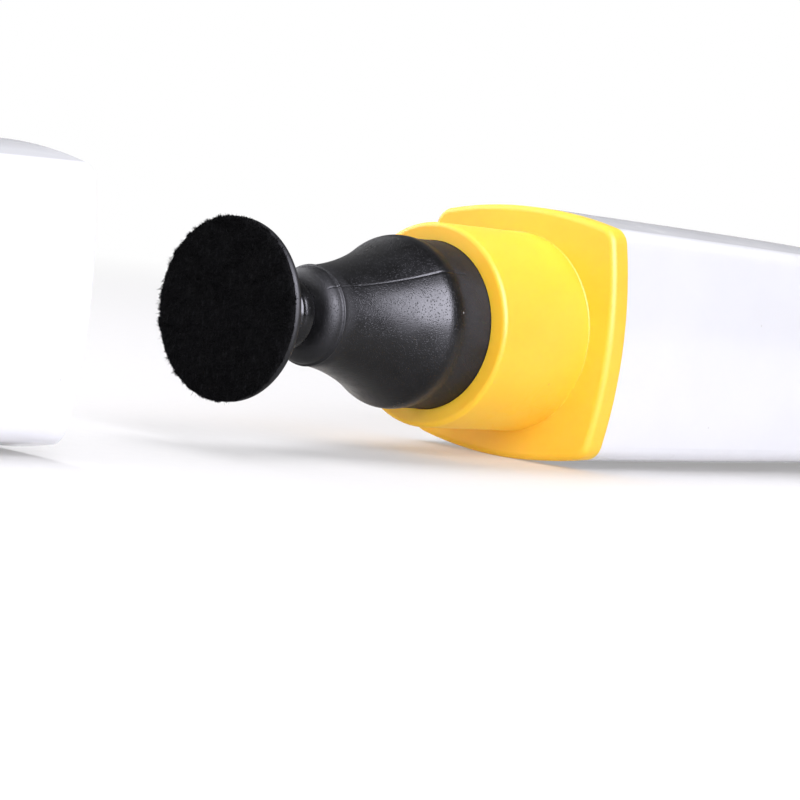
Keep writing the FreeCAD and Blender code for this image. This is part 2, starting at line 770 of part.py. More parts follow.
def make_cap_liner():
    """Sleeve in the cap's mouth that grips the collar's ring."""
    low = RING_FRONT
    high = f"({RIM_FRONT} - Sizes.liner_inset)"
    body = new_body("cap_liner", parked=True)
    revolve(body, "sleeve", [
        (low, LINER_INNER), (high, LINER_INNER), (high, LINER_OUTER), (low, LINER_OUTER),
    ])
    return body


PAD_RADIUS = f"({CUP_INNER} - Sizes.foam_clearance)"


def make_pad_cup():
    """Shallow cup on the cap's floor that holds the foam and the carbon pad."""
    rim = f"({CARBON_FRONT} - Sizes.cup_depth)"
    body = new_body("pad_cup", parked=True)
    revolve(body, "cup", [
        (CUP_LOW, "0"), (CUP_SEAT, "0"), (CUP_SEAT, CUP_INNER), (rim, CUP_INNER),
        (rim, CUP_OUTER), (CUP_LOW, CUP_OUTER),
    ])
    return body


def make_foam_backing():
    """Foam that presses the carbon pad forward."""
    body = new_body("foam_backing", parked=True)
    revolve(body, "foam", [
        (FOAM_BACK, "0"), (FOAM_FRONT, "0"), (FOAM_FRONT, PAD_RADIUS), (FOAM_BACK, PAD_RADIUS),
    ])
    return body


def make_carbon_pad():
    """Felt pad charged with carbon, which recoats the cleaning disc."""
    body = new_body("carbon_pad", parked=True)
    revolve(body, "felt", [
        (CARBON_BACK, "0"), (CARBON_FRONT, "0"), (CARBON_FRONT, PAD_RADIUS),
        (CARBON_BACK, PAD_RADIUS),
    ])
    return body


# ---------------------------------------------------------------- brush

CARRIAGE_LOW = f"({NECK_LOW} - Sizes.carriage_lead)"
CARRIAGE_HIGH = f"({CARRIAGE_LOW} + Sizes.carriage_span)"
ROD_END = f"({CARRIAGE_HIGH} + Sizes.rod_span)"
FERRULE_LOW = f"({ROD_END} - Sizes.ferrule_lap)"
FERRULE_HIGH = f"({FERRULE_LOW} + Sizes.ferrule_span)"
HAIR_TIP = f"({BRUSH_END} - Sizes.hair_inset)"
NECK_FOOT = f"({CARRIAGE_RADIUS} - Sizes.neck_seat)"
SPRING_LOW = f"({CARRIAGE_HIGH} - Sizes.carriage_lead - Sizes.spring_span)"
SPRING_HIGH = f"({SPRING_LOW} + Sizes.spring_span)"


def make_slider_button():
    """Thumb slider outside the body, with the neck that reaches through the slot."""
    body = new_body("slider_button")
    middle = f"(({NECK_LOW} + {NECK_HIGH}) / 2)"
    button = new_sketch(body, "button_outline", "XZ_Plane", f"(-{BUTTON_UNDER})")
    draw_outline(button, rounded_rectangle(
        f"({middle} - Sizes.button_span / 2)", f"({middle} + Sizes.button_span / 2)",
        "(Sizes.button_width / 2)", size("button_round")))
    pad(body, "button", button, size("button_height"), backwards=True)
    top = value(BUTTON_UNDER) + value(size("button_height"))
    round_edges(body, "button_rounding", size("button_edge"),
                lambda edge: edge.BoundBox.YMin > top - SAME_PLACE)
    neck = new_sketch(body, "neck_outline", "XZ_Plane", f"(-{BUTTON_UNDER})")
    draw_outline(neck, rounded_rectangle(NECK_LOW, NECK_HIGH, "(Sizes.neck_width / 2)",
                                         NECK_ROUND))
    pad(body, "neck", neck, f"({BUTTON_UNDER} - {NECK_FOOT})")
    rib = new_sketch(body, "rib_outline", "XZ_Plane", f"(-{BUTTON_UNDER} - Sizes.button_height)")
    rib_low = (f"({middle} - Sizes.rib_pitch * (Sizes.rib_count - 1) / 2"
               f" - Sizes.rib_width / 2)")
    rib_half = "(Sizes.button_width / 2 - Sizes.rib_margin)"
    draw_outline(rib, rounded_rectangle(rib_low, f"({rib_low} + Sizes.rib_width)", rib_half,
                                        size("rib_round")))
    first_rib = pad(body, "rib", rib, size("rib_height"), backwards=True)
    ribs = body.newObject("PartDesign::LinearPattern", "ribs")
    ribs.Originals = [first_rib]
    ribs.Direction = (rib, ["H_Axis"])
    ribs.setExpression(".Length", "(Sizes.rib_pitch * (Sizes.rib_count - 1))")
    ribs.setExpression(".Occurrences", size("rib_count"))
    body.Tip = ribs
    doc.recompute()
    return body


def make_brush_carriage():
    """Block that runs in the guide, with the rod that carries the brush."""
    body = new_body("brush_carriage")
    revolve(body, "block", [
        (CARRIAGE_LOW, "0"),
        (ROD_END, "0"),
        (ROD_END, ROD_RADIUS),
        (CARRIAGE_HIGH, ROD_RADIUS),
        (CARRIAGE_HIGH, CARRIAGE_RADIUS),
        (CARRIAGE_LOW, CARRIAGE_RADIUS),
    ])
    seat = new_sketch(body, "neck_seat_outline", "XZ_Plane",
                      f"(-{NECK_FOOT} + Sizes.seat_clearance)")
    draw_outline(seat, rounded_rectangle(
        f"({NECK_LOW} - Sizes.seat_clearance)", f"({NECK_HIGH} + Sizes.seat_clearance)",
        "(Sizes.neck_width / 2 + Sizes.seat_clearance)", NECK_ROUND))
    pocket(body, "neck_seat", seat, size("half_width"))
    spring = new_sketch(body, "spring_pocket_outline", "XZ_Plane",
                        f"({CARRIAGE_RADIUS} - Sizes.spring_pocket)")
    draw_outline(spring, rounded_rectangle(
        f"({SPRING_LOW} - Sizes.slot_gap)", f"({SPRING_HIGH} + Sizes.slot_gap)",
        "(Sizes.spring_width / 2 + Sizes.slot_gap)", size("slot_gap")))
    pocket(body, "spring_pocket", spring, size("half_width"), backwards=True)
    return body


def make_detent_spring():
    """Bowed steel strip under the carriage that holds the brush in or out."""
    floor = f"(Sizes.spring_pocket - Sizes.seat_clearance - {CARRIAGE_RADIUS})"
    top = f"({floor} - Sizes.spring_thickness)"
    middle = f"(({SPRING_LOW} + {SPRING_HIGH}) / 2)"
    quarter = "(Sizes.spring_span / 4)"
    body = new_body("detent_spring")
    strip = new_sketch(body, "strip_outline", "XY_Plane", "(-Sizes.spring_width / 2)")
    crest_low = f"({middle} - {quarter})"
    crest_high = f"({middle} + {quarter})"
    draw_outline(strip, [
        (SPRING_LOW, floor),
        (SPRING_LOW, top),
        (crest_low, f"({top} - Sizes.spring_bow)"),
        (crest_high, f"({top} - Sizes.spring_bow)"),
        (SPRING_HIGH, top),
        (SPRING_HIGH, floor),
        (crest_high, f"({floor} - Sizes.spring_bow)"),
        (crest_low, f"({floor} - Sizes.spring_bow)"),
    ])
    pad(body, "strip", strip, size("spring_width"))
    return body


def make_brush_ferrule():
    """Metal tube that joins the hair to the carriage's rod."""
    body = new_body("brush_ferrule")
    revolve(body, "tube", [
        (FERRULE_LOW, FERRULE_BORE), (FERRULE_HIGH, FERRULE_BORE),
        (FERRULE_HIGH, FERRULE_RADIUS), (FERRULE_LOW, FERRULE_RADIUS),
    ])
    return body


GLUE_LOW = f"({ROD_END} + Sizes.seat_clearance)"
GLUE_HIGH = f"({GLUE_LOW} + Sizes.glue_span)"


def make_hair_plug():
    """Set glue that holds the roots of the hair in the ferrule."""
    body = new_body("hair_plug")
    revolve(body, "plug", [
        (GLUE_LOW, "0"), (GLUE_HIGH, "0"), (GLUE_HIGH, ROD_RADIUS), (GLUE_LOW, ROD_RADIUS),
    ])
    return body


def make_brush_hair():
    """Outer shape of the hair tuft: rooted in the ferrule, fuller in the middle."""
    low = f"({GLUE_HIGH} + Sizes.seat_clearance)"
    flare = f"({FERRULE_RADIUS} + Sizes.hair_flare)"
    swell = f"(({FERRULE_HIGH} + {HAIR_TIP}) / 2)"
    body = new_body("brush_hair")
    revolve(body, "tuft", [
        (low, "0"),
        (HAIR_TIP, "0"),
        (HAIR_TIP, size("hair_tip")),
        (swell, flare),
        (FERRULE_HIGH, ROD_RADIUS),
        (low, ROD_RADIUS),
    ])
    return body


make_body_shell()
make_tip_collar()
make_tip_holder()
make_holder_core()
make_core_clip()
make_guide_tube()
make_tail_ring()
make_tip_cup()
make_tip_pivot()
make_chamois_pad()
make_cap_shell()
make_cap_badge()
make_cap_liner()
make_pad_cup()
make_foam_backing()
make_carbon_pad()
make_slider_button()
make_brush_carriage()
make_detent_spring()
make_brush_ferrule()
make_hair_plug()
make_brush_hair()
doc.recompute()

for item in doc.Objects:
    if "Invalid" in item.State or "Error" in item.State:
        raise RuntimeError(f"{item.Label} did not recompute: {item.State}")
for sub_part in SUB_PARTS:
    shape = sub_part.Shape
    if shape.isNull() or not shape.isValid() or len(shape.Solids) != 1:
        raise RuntimeError(f"{sub_part.Label} is not one valid solid")

os.makedirs("parts", exist_ok=True)
for sub_part in SUB_PARTS:
    sub_part.Shape.exportStep(os.path.join("parts", f"{sub_part.Label}.step"))
    box = sub_part.Shape.BoundBox
    print(f"{sub_part.Label:16s} {sub_part.Shape.Volume:9.2f} mm3"
          f"  X {box.XMin:8.2f} {box.XMax:8.2f}  Y {box.YMin:7.2f} {box.YMax:7.2f}"
          f"  Z {box.ZMin:6.2f} {box.ZMax:6.2f}")
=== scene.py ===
"""Looks of a lens cleaning pen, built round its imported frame.

The frame gives every piece its place. This script dresses the hard pieces in procedural
finishes, and models the rubber holder, the cleaning tip, the carbon pad and the brush hair in
full detail in the room that the frame keeps for them. Lengths are in metres, unless a
description says millimetres.
"""

from __future__ import annotations

import logging
import math
import random
from dataclasses import dataclass, field
from enum import Enum
from typing import Iterable, Protocol, Sequence

import bmesh
import bpy
from mathutils import Matrix, Vector, noise


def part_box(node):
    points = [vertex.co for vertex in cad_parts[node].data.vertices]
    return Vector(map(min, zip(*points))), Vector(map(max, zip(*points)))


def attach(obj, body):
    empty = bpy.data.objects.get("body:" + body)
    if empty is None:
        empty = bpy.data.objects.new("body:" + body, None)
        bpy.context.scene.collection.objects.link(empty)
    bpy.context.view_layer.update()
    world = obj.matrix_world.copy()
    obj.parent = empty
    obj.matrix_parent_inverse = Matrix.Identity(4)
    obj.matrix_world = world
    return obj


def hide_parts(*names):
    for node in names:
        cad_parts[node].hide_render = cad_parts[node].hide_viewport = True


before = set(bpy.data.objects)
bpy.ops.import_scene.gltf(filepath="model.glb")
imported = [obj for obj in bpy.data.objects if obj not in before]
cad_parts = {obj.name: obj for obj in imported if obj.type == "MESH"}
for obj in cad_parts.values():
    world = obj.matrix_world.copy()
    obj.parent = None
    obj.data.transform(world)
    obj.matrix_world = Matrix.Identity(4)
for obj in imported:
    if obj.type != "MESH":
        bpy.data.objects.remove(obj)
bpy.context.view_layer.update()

MM = 0.001
log = logging.getLogger("pen")

Colour = tuple[float, float, float]


# ------------------------------------------------------------------ places


@dataclass(frozen=True)
class PenAxis:
    """The line through the middle of the pen, and the places along it.

    Attributes:
        y: The axis's place across the pen.
        z: The axis's height.
        disc: Where the cleaning disc's face lies along X.
    """

    y: float
    z: float
    disc: float

    @classmethod
    def of_frame(cls) -> PenAxis:
        """Read the axis from the frame's round pieces.

        Returns:
            The axis.
        """
        low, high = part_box("tip_holder")
        middle = (low + high) / 2
        return cls(middle.y, middle.z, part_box("chamois_pad")[0].x)

    def point(self, along: float, across: float = 0.0, up: float = 0.0) -> Vector:
        """Return the point at these distances from the disc's centre."""
        return Vector((self.disc + along, self.y + across, self.z + up))


AXIS = PenAxis.of_frame()


# ------------------------------------------------------------------ nodes


@dataclass
class NodeBoard:
    """Short ways to add nodes to one node tree and to join them.

    Attributes:
        tree: The node tree that the nodes go into.
    """

    tree: bpy.types.NodeTree

    def add(self, kind: str, **settings: object) -> bpy.types.Node:
        """Add a node.

        Args:
            kind: The node's type, without the ShaderNode in front.
            settings: The node's own settings, by name.

        Returns:
            The new node.
        """
        made = self.tree.nodes.new(f"ShaderNode{kind}")
        for name, setting in settings.items():
            setattr(made, name, setting)
        return made

    def put(self, socket: bpy.types.NodeSocket, given: object) -> None:
        """Join a socket to another socket, or set it to a number or colour.

        Args:
            socket: The input socket.
            given: The output socket, number or colour that it gets.
        """
        if isinstance(given, bpy.types.NodeSocket):
            self.tree.links.new(given, socket)
        else:
            socket.default_value = given

    def calc(self, operation: str, first: object, second: object) -> bpy.types.NodeSocket:
        """Work out a sum on two values, kept between 0 and 1.

        Args:
            operation: The Math node's operation.
            first: The first value or socket.
            second: The second value or socket.

        Returns:
            The result.
        """
        made = self.add("Math", operation=operation, use_clamp=True)
        self.put(made.inputs[0], first)
        self.put(made.inputs[1], second)
        return made.outputs[0]

    def span(self, given: object, low: float, high: float,
             to_low: float = 0.0, to_high: float = 1.0) -> bpy.types.NodeSocket:
        """Stretch a value smoothly from one range to another.

        Args:
            given: The value or socket.
            low: Where the first range starts.
            high: Where the first range ends; it may lie below low.
            to_low: What low becomes.
            to_high: What high becomes.

        Returns:
            The stretched value.
        """
        made = self.add("MapRange", interpolation_type="SMOOTHSTEP")
        self.put(made.inputs["Value"], given)
        for name, number in (("From Min", low), ("From Max", high),
                             ("To Min", to_low), ("To Max", to_high)):
            made.inputs[name].default_value = number
        return made.outputs["Result"]

    def noise(self, place: object, scale: object, detail: float = 2.0,
              rough: float = 0.5) -> bpy.types.NodeSocket:
        """Make cloudy noise; its features are about 1 / scale metres across.

        Args:
            place: The coordinates.
            scale: How fine it is.
            detail: How many finer layers it has.
            rough: How strong each finer layer is.

        Returns:
            The noise, from 0 to 1.
        """
        made = self.add("TexNoise")
        self.put(made.inputs["Vector"], place)
        self.put(made.inputs["Scale"], scale)
        made.inputs["Detail"].default_value = detail
        made.inputs["Roughness"].default_value = rough
        return made.outputs["Fac"]

    def cells(self, place: object, scale: object) -> bpy.types.Node:
        """Make a Voronoi node; its cells are about 1 / scale metres across.

        Args:
            place: The coordinates.
            scale: How fine it is.

        Returns:
            The node.
        """
        made = self.add("TexVoronoi")
        self.put(made.inputs["Vector"], place)
        self.put(made.inputs["Scale"], scale)
        return made

    def blend(self, share: object, low: object, high: object) -> bpy.types.NodeSocket:
        """Mix two colours.

        Args:
            share: How much of the second colour there is.
            low: The first colour or socket.
            high: The second colour or socket.

        Returns:
            The mixed colour.
        """
        made = self.add("Mix", data_type="RGBA")
        self.put(made.inputs[0], share)
        for socket, given in ((made.inputs[6], low), (made.inputs[7], high)):
            self.put(socket, (*given, 1.0) if isinstance(given, tuple) else given)
        return made.outputs[2]

    def turned(self, place: object, stretch: Sequence[float]) -> bpy.types.NodeSocket:
        """Scale coordinates by a different number each way.

        Args:
            place: The coordinates.
            stretch: The number for each way.

        Returns:
            The new coordinates.
        """
        made = self.add("Mapping")
        self.put(made.inputs["Vector"], place)
        made.inputs["Scale"].default_value = stretch
        return made.outputs["Vector"]

    def effect(self, group: bpy.types.NodeTree, **given: object) -> bpy.types.Node:
        """Place an effect group and set its inputs.

        Args:
            group: The effect group.
            given: Each input's value or socket, by a name without spaces.

        Returns:
            The placed group.
        """
        made = self.add("Group")
        made.node_tree = group
        for name, value in given.items():
            self.put(made.inputs[name], value)
        return made


@dataclass(frozen=True)
class EffectGroup:
    """A node group with named inputs and outputs that materials share.

    Attributes:
        name: The group's name.
        inputs: Each number input's name and usual value; a Place input is always there.
        outputs: The names of the values it puts out.
    """

    name: str
    inputs: dict[str, float]
    outputs: tuple[str, ...]

    def start(self) -> tuple[bpy.types.NodeTree, NodeBoard, bpy.types.Node, bpy.types.Node]:
        """Make the empty group.

        Returns:
            The group, its board, its input node and its output node.
        """
        group = bpy.data.node_groups.new(self.name, "ShaderNodeTree")
        group.interface.new_socket("Place", in_out="INPUT", socket_type="NodeSocketVector")
        for name, usual in self.inputs.items():
            socket = group.interface.new_socket(name, in_out="INPUT",
                                                socket_type="NodeSocketFloat")
            socket.default_value = usual
        for name in self.outputs:
            group.interface.new_socket(name, in_out="OUTPUT", socket_type="NodeSocketFloat")
        return (group, NodeBoard(group), group.nodes.new("NodeGroupInput"),
                group.nodes.new("NodeGroupOutput"))


def dust_group() -> bpy.types.NodeTree:
    """Build sparse specks of dust.

    Returns:
        A group whose Specks output is 1 on a speck.
    """
    plan = EffectGroup("dust", {"Scale": 900.0, "Reach": 0.12, "Share": 0.1}, ("Specks",))
    group, board, given, result = plan.start()
    cells = board.cells(given.outputs["Place"], given.outputs["Scale"])
    chosen = board.add("SeparateColor")
    board.put(chosen.inputs[0], cells.outputs["Color"])
    near = board.calc("LESS_THAN", cells.outputs["Distance"], given.outputs["Reach"])
    lucky = board.calc("LESS_THAN", chosen.outputs[0], given.outputs["Share"])
    board.put(result.inputs["Specks"], board.calc("MULTIPLY", near, lucky))
    return group


def moulding_group() -> bpy.types.NodeTree:
    """Build the skin of a moulded part: a faint ripple under a fine grain.

    Returns:
        A group with a Height for bump and a Patch value for colour and roughness.
    """
    plan = EffectGroup("moulded_skin", {"Grain": 5000.0, "Ripple": 260.0, "Share": 0.3},
                       ("Height", "Patch"))
    group, board, given, result = plan.start()
    grain = board.noise(given.outputs["Place"], given.outputs["Grain"], 2.0, 0.6)
    ripple = board.noise(given.outputs["Place"], given.outputs["Ripple"], 1.0, 0.4)
    height = board.add("Mix", data_type="FLOAT")
    board.put(height.inputs[0], given.outputs["Share"])
    board.put(height.inputs[2], ripple)
    board.put(height.inputs[3], grain)
    board.put(result.inputs["Height"], height.outputs[0])
    patch = board.noise(given.outputs["Place"], 120.0, 4.0, 0.6)
    board.put(result.inputs["Patch"], patch)
    return group


def pits_group() -> bpy.types.NodeTree:
    """Build the pitted skin of moulded rubber.

    Returns:
        A group with a Height for bump and a Pits value that is 1 in a pit.
    """
    plan = EffectGroup("pits", {"Scale": 7600.0, "Share": 0.7}, ("Height", "Pits"))
    group, board, given, result = plan.start()
    place = given.outputs["Place"]
    cells = board.cells(place, given.outputs["Scale"])
    chosen = board.add("SeparateColor")
    board.put(chosen.inputs[0], cells.outputs["Color"])
    near = board.span(cells.outputs["Distance"], 0.12, 0.42, 1.0, 0.0)
    lucky = board.calc("LESS_THAN", chosen.outputs[1], given.outputs["Share"])
    pits = board.calc("MULTIPLY", near, lucky)
    grain = board.noise(place, 9000.0, 3.0, 0.6)
    shallow = board.calc("MULTIPLY", grain, 0.45)
    deep = board.calc("MULTIPLY", pits, 0.55)
    base = board.calc("ADD", shallow, 0.55)
    board.put(result.inputs["Height"], board.calc("SUBTRACT", base, deep))
    board.put(result.inputs["Pits"], pits)
    return group


def scuffs_group() -> bpy.types.NodeTree:
    """Build fine handling marks that cross each other.

    Returns:
        A group whose Marks output is 1 along a mark.
    """
    plan = EffectGroup("scuffs", {"Scale": 90.0, "Width": 0.012}, ("Marks",))
    group, board, given, result = plan.start()
    marks = None
    for stretch in ((1.0, 9.0, 7.0), (8.0, 1.2, 2.0), (5.0, 6.0, 1.0)):
        place = board.turned(given.outputs["Place"], stretch)
        cloud = board.noise(place, given.outputs["Scale"], 1.0, 0.4)
        away = board.add("Math", operation="COMPARE")
        board.put(away.inputs[0], cloud)
        away.inputs[1].default_value = 0.5
        board.put(away.inputs[2], given.outputs["Width"])
        line = away.outputs[0]
        marks = line if marks is None else board.calc("MAXIMUM", marks, line)
    sparse = board.span(board.noise(given.outputs["Place"], 60.0, 2.0), 0.52, 0.66)
    board.put(result.inputs["Marks"], board.calc("MULTIPLY", marks, sparse))
    return group


def nap_group() -> bpy.types.NodeTree:
    """Build the brushed nap of velour: tufts that lean in drifting patches.

    Returns:
        A group with a Height for bump and a Shade value for colour, which paints
        the nap's sheen: lighter where the nap leans up.
    """
    plan = EffectGroup("nap", {"Tuft": 5200.0, "Drift": 420.0}, ("Height", "PaintedSheen"))
    group, board, given, result = plan.start()
    place = given.outputs["Place"]
    tufts = board.noise(place, given.outputs["Tuft"], 4.0, 0.7)
    drift = board.noise(board.turned(place, (1.0, 2.4, 0.8)), given.outputs["Drift"], 3.0, 0.6)
    height = board.calc("MULTIPLY", tufts, board.calc("ADD", drift, 0.4))
    board.put(result.inputs["Height"], height)
    # Painted sheen: lighter patches where the nap leans up.
    board.put(result.inputs["PaintedSheen"], board.span(drift, 0.35, 0.68))
    return group


@dataclass(frozen=True)
class Effects:
    """The effect groups that the finishes share.

    Attributes:
        dust: Sparse specks.
        moulding: The skin of a moulded part.
        pits: The pitted skin of rubber.
        scuffs: Handling marks.
        nap: The nap of velour.
    """

    dust: bpy.types.NodeTree = field(default_factory=dust_group)
    moulding: bpy.types.NodeTree = field(default_factory=moulding_group)
    pits: bpy.types.NodeTree = field(default_factory=pits_group)
    scuffs: bpy.types.NodeTree = field(default_factory=scuffs_group)
    nap: bpy.types.NodeTree = field(default_factory=nap_group)


# ------------------------------------------------------------------ finishes


class Finish(Protocol):
    """What every finish offers: a name, and a material built from the shared effects."""

    name: str

    def build(self, effects: Effects) -> bpy.types.Material:
        """Return the finished material."""


@dataclass
class MaterialStart:
    """A new material with its shader, its board and the piece's own coordinates.

    Attributes:
        name: The material's name.
    """

    name: str

    def __post_init__(self) -> None:
        """Make the material and find its shader."""
        self.material = bpy.data.materials.new(self.name)
        self.material.use_nodes = True
        self.board = NodeBoard(self.material.node_tree)
        self.shader = self.material.node_tree.nodes["Principled BSDF"]
        self.place = self.board.add("TexCoord").outputs["Object"]

    def set(self, **settings: object) -> None:
        """Set the shader's sockets; an underscore in a name stands for a space."""
        for name, given in settings.items():
            self.board.put(self.shader.inputs[name.replace("_", " ")], given)

    def bump(self, height: bpy.types.NodeSocket, distance: float) -> None:
        """Raise the surface by a height value.

        Args:
            height: The height, from 0 to 1.
            distance: How far a height of 1 stands up.
        """
        made = self.board.add("Bump")
        made.inputs["Distance"].default_value = distance
        self.board.put(made.inputs["Height"], height)
        self.board.put(self.shader.inputs["Normal"], made.outputs["Normal"])


@dataclass(frozen=True)
class MouldedPlastic:
    """A moulded plastic, glossy or satin.

    Attributes:
        name: The material's name.
        colour: Its colour.
        shade: Its colour in the thicker, dimmer patches.
        gloss: Its roughness.
        spread: How much the roughness varies over the surface.
        ripple: The height of its moulded skin.
        shine: Its specular level.
        coat: The weight of its polished top.
        glow: How much light travels through it.
        glow_reach: How far each colour of that light travels.
        dust: How many specks of dust lie on it, as a share.
        fleck: The dust's colour.
        depth: How deep light travels into it.
    """

    name: str
    colour: Colour
    shade: Colour
    gloss: float = 0.15
    spread: float = 0.06
    ripple: float = 0.006 * MM
    shine: float = 0.5
    coat: float = 0.0
    glow: float = 0.0
    glow_reach: Colour = (1.0, 0.5, 0.25)
    dust: float = 0.05
    fleck: Colour = (0.45, 0.44, 0.42)
    depth: float = 1.2 * MM

    def build(self, effects: Effects) -> bpy.types.Material:
        """Build the material.

        Args:
            effects: The effect groups that the finishes share.

        Returns:
            The finished material.
        """
        start = MaterialStart(self.name)
        board = start.board
        skin = board.effect(effects.moulding, Place=start.place)
        marks = board.effect(effects.scuffs, Place=start.place).outputs["Marks"]
        specks = board.effect(effects.dust, Place=start.place, Scale=1300.0,
                              Share=self.dust).outputs["Specks"]
        tone = board.blend(board.span(skin.outputs["Patch"], 0.3, 0.7), self.shade, self.colour)
        tone = board.blend(board.calc("MULTIPLY", specks, 0.6), tone, self.fleck)
        worn = board.calc("MULTIPLY", marks, self.spread * 1.6)
        low, high = self.gloss - self.spread / 2, self.gloss + self.spread / 2
        rough = board.span(skin.outputs["Patch"], 0.25, 0.75, low, high)
        rough = board.calc("ADD", rough, worn)
        rough = board.calc("ADD", rough, board.calc("MULTIPLY", specks, 0.4))
        start.set(Base_Color=tone, Roughness=rough, Specular_IOR_Level=self.shine,
                  Coat_Weight=self.coat, Coat_Roughness=self.gloss / 2,
                  Subsurface_Weight=self.glow, Subsurface_Radius=self.glow_reach,
                  Subsurface_Scale=self.depth)
        start.bump(skin.outputs["Height"], self.ripple)
        return start.material


@dataclass(frozen=True)
class MouldedRubber:
    """Black moulded rubber, finely pitted, with specks of dust.

    Attributes:
        name: The material's name.
        colour: Its colour.
        worn: Its colour where handling has greyed it.
        gloss: Its roughness.
        shine: Its specular level.
        pit_depth: How deep its pits are.
        pit_share: How many of the pits there are, as a share.
        dust: How many specks of dust lie on it, as a share.
        fleck: The dust's colour.
        matt: Where along X the moulding is glossy, and where it has turned matt.
        matt_gain: How much rougher the matt stretch is.
        front: Where along X it is glossy, and where its front end has turned satin.
        front_gain: How much rougher the front end is.
    """

    name: str
    colour: Colour = (0.0014, 0.0014, 0.0018)
    worn: Colour = (0.0030, 0.0030, 0.0038)
    gloss: float = 0.33
    shine: float = 0.25
    pit_depth: float = 0.018 * MM
    pit_share: float = 0.75
    dust: float = 0.03
    fleck: Colour = (0.30, 0.30, 0.31)
    matt: tuple[float, float] = (1.0, 2.0)
    matt_gain: float = 0.27
    front: tuple[float, float] = (-1.0, -2.0)
    front_gain: float = 0.20

    def build(self, effects: Effects) -> bpy.types.Material:
        """Build the material.

        Args:
            effects: The effect groups that the finishes share.

        Returns:
            The finished material.
        """
        start = MaterialStart(self.name)
        board = start.board
        skin = board.effect(effects.pits, Place=start.place, Share=self.pit_share)
        cloud = board.noise(start.place, 480.0, 4.0, 0.65)
        specks = board.effect(effects.dust, Place=start.place, Scale=800.0, Reach=0.055,
                              Share=self.dust).outputs["Specks"]
        tone = board.blend(board.span(cloud, 0.35, 0.7), self.colour, self.worn)
        tone = board.blend(board.calc("MULTIPLY", skin.outputs["Pits"], 0.7), tone,
                           (0.004, 0.004, 0.005))
        tone = board.blend(specks, tone, self.fleck)
        rough = board.span(cloud, 0.3, 0.75, self.gloss - 0.06, self.gloss + 0.08)
        rough = board.calc("ADD", rough, board.calc("MULTIPLY", skin.outputs["Pits"], 0.25))
        split = board.add("SeparateXYZ")
        board.put(split.inputs[0], start.place)
        for stretch, gain in ((self.matt, self.matt_gain), (self.front, self.front_gain)):
            dulled = board.span(split.outputs["X"], *stretch)
            rough = board.calc("ADD", rough, board.calc("MULTIPLY", dulled, gain))
        start.set(Base_Color=tone, Roughness=rough, Specular_IOR_Level=self.shine)
        start.bump(skin.outputs["Height"], self.pit_depth)
        return start.material


@dataclass(frozen=True)
class Velour:
    """Black napped velour.

    Attributes:
        name: The material's name.
        colour: Its colour where the nap leans away.
        painted_nap_sheen: Painted sheen: the lighter colour where the nap leans up.
        bright: Painted highlight: the colour along the tufts that catch light.
        lint: The colour of the lint caught in it.
        sheen: How strongly the nap's edges catch light.
        relief: How high the nap stands.
    """

    name: str
    colour: Colour = (0.0001, 0.0001, 0.0001)
    painted_nap_sheen: Colour = (0.0007, 0.0007, 0.0008)
    bright: Colour = (0.0090, 0.0090, 0.0100)
    lint: Colour = (0.10, 0.10, 0.11)
    sheen: float = 0.006
    relief: float = 0.09 * MM

    def build(self, effects: Effects) -> bpy.types.Material:
        """Build the material.

        Args:
            effects: The effect groups that the finishes share.

        Returns:
            The finished material.
        """
        start = MaterialStart(self.name)
        board = start.board
        nap = board.effect(effects.nap, Place=start.place)
        lint = board.effect(effects.dust, Place=start.place, Scale=700.0, Reach=0.05,
                            Share=0.06).outputs["Specks"]
        painted_glint_streaks = board.noise(board.turned(start.place, (1.0, 1.0, 0.30)), 5200.0, 3.0, 0.65)
        # Painted sheen: the colour lightens where the nap leans up.
        tone = board.blend(nap.outputs["PaintedSheen"], self.colour, self.painted_nap_sheen)
        # Painted highlight: fine lighter streaks where the tufts catch light.
        tone = board.blend(board.span(painted_glint_streaks, 0.52, 0.74), tone, self.bright)
        tone = board.blend(board.calc("MULTIPLY", lint, 0.5), tone, self.lint)
        rough = board.span(nap.outputs["PaintedSheen"], 0.0, 1.0, 0.86, 0.98)
        start.set(Base_Color=tone, Roughness=rough, Specular_IOR_Level=0.05,
                  Sheen_Weight=self.sheen, Sheen_Roughness=0.55)
        start.bump(nap.outputs["Height"], self.relief)
        return start.material


@dataclass(frozen=True)
class Metal:
    """Drawn or rolled metal with fine lines along the pen.

    Attributes:
        name: The material's name.
        colour: Its colour.
        gloss: Its roughness.
        stretch: How the lines are stretched each way.
        relief: How deep the lines are.
    """

    name: str
    colour: Colour
    gloss: float = 0.28
    stretch: tuple[float, float, float] = (0.05, 1.0, 1.0)
    relief: float = 0.004 * MM

    def build(self, effects: Effects) -> bpy.types.Material:
        """Build the material.

        Args:
            effects: The effect groups that the finishes share.

        Returns:
            The finished material.
        """
        start = MaterialStart(self.name)
        board = start.board
        drawn = board.turned(start.place, self.stretch)
        lines = board.noise(drawn, 9000.0, 3.0, 0.7)
        stain = board.noise(start.place, 300.0, 4.0, 0.6)
        marks = board.effect(effects.scuffs, Place=start.place).outputs["Marks"]
        dull = tuple(part * 0.72 for part in self.colour)
        tone = board.blend(board.span(stain, 0.35, 0.75), self.colour, dull)
        rough = board.span(lines, 0.25, 0.75, self.gloss - 0.08, self.gloss + 0.12)
        rough = board.calc("ADD", rough, board.calc("MULTIPLY", marks, 0.15))
        start.set(Base_Color=tone, Roughness=rough, Metallic=1.0)
        start.bump(lines, self.relief)
        return start.material


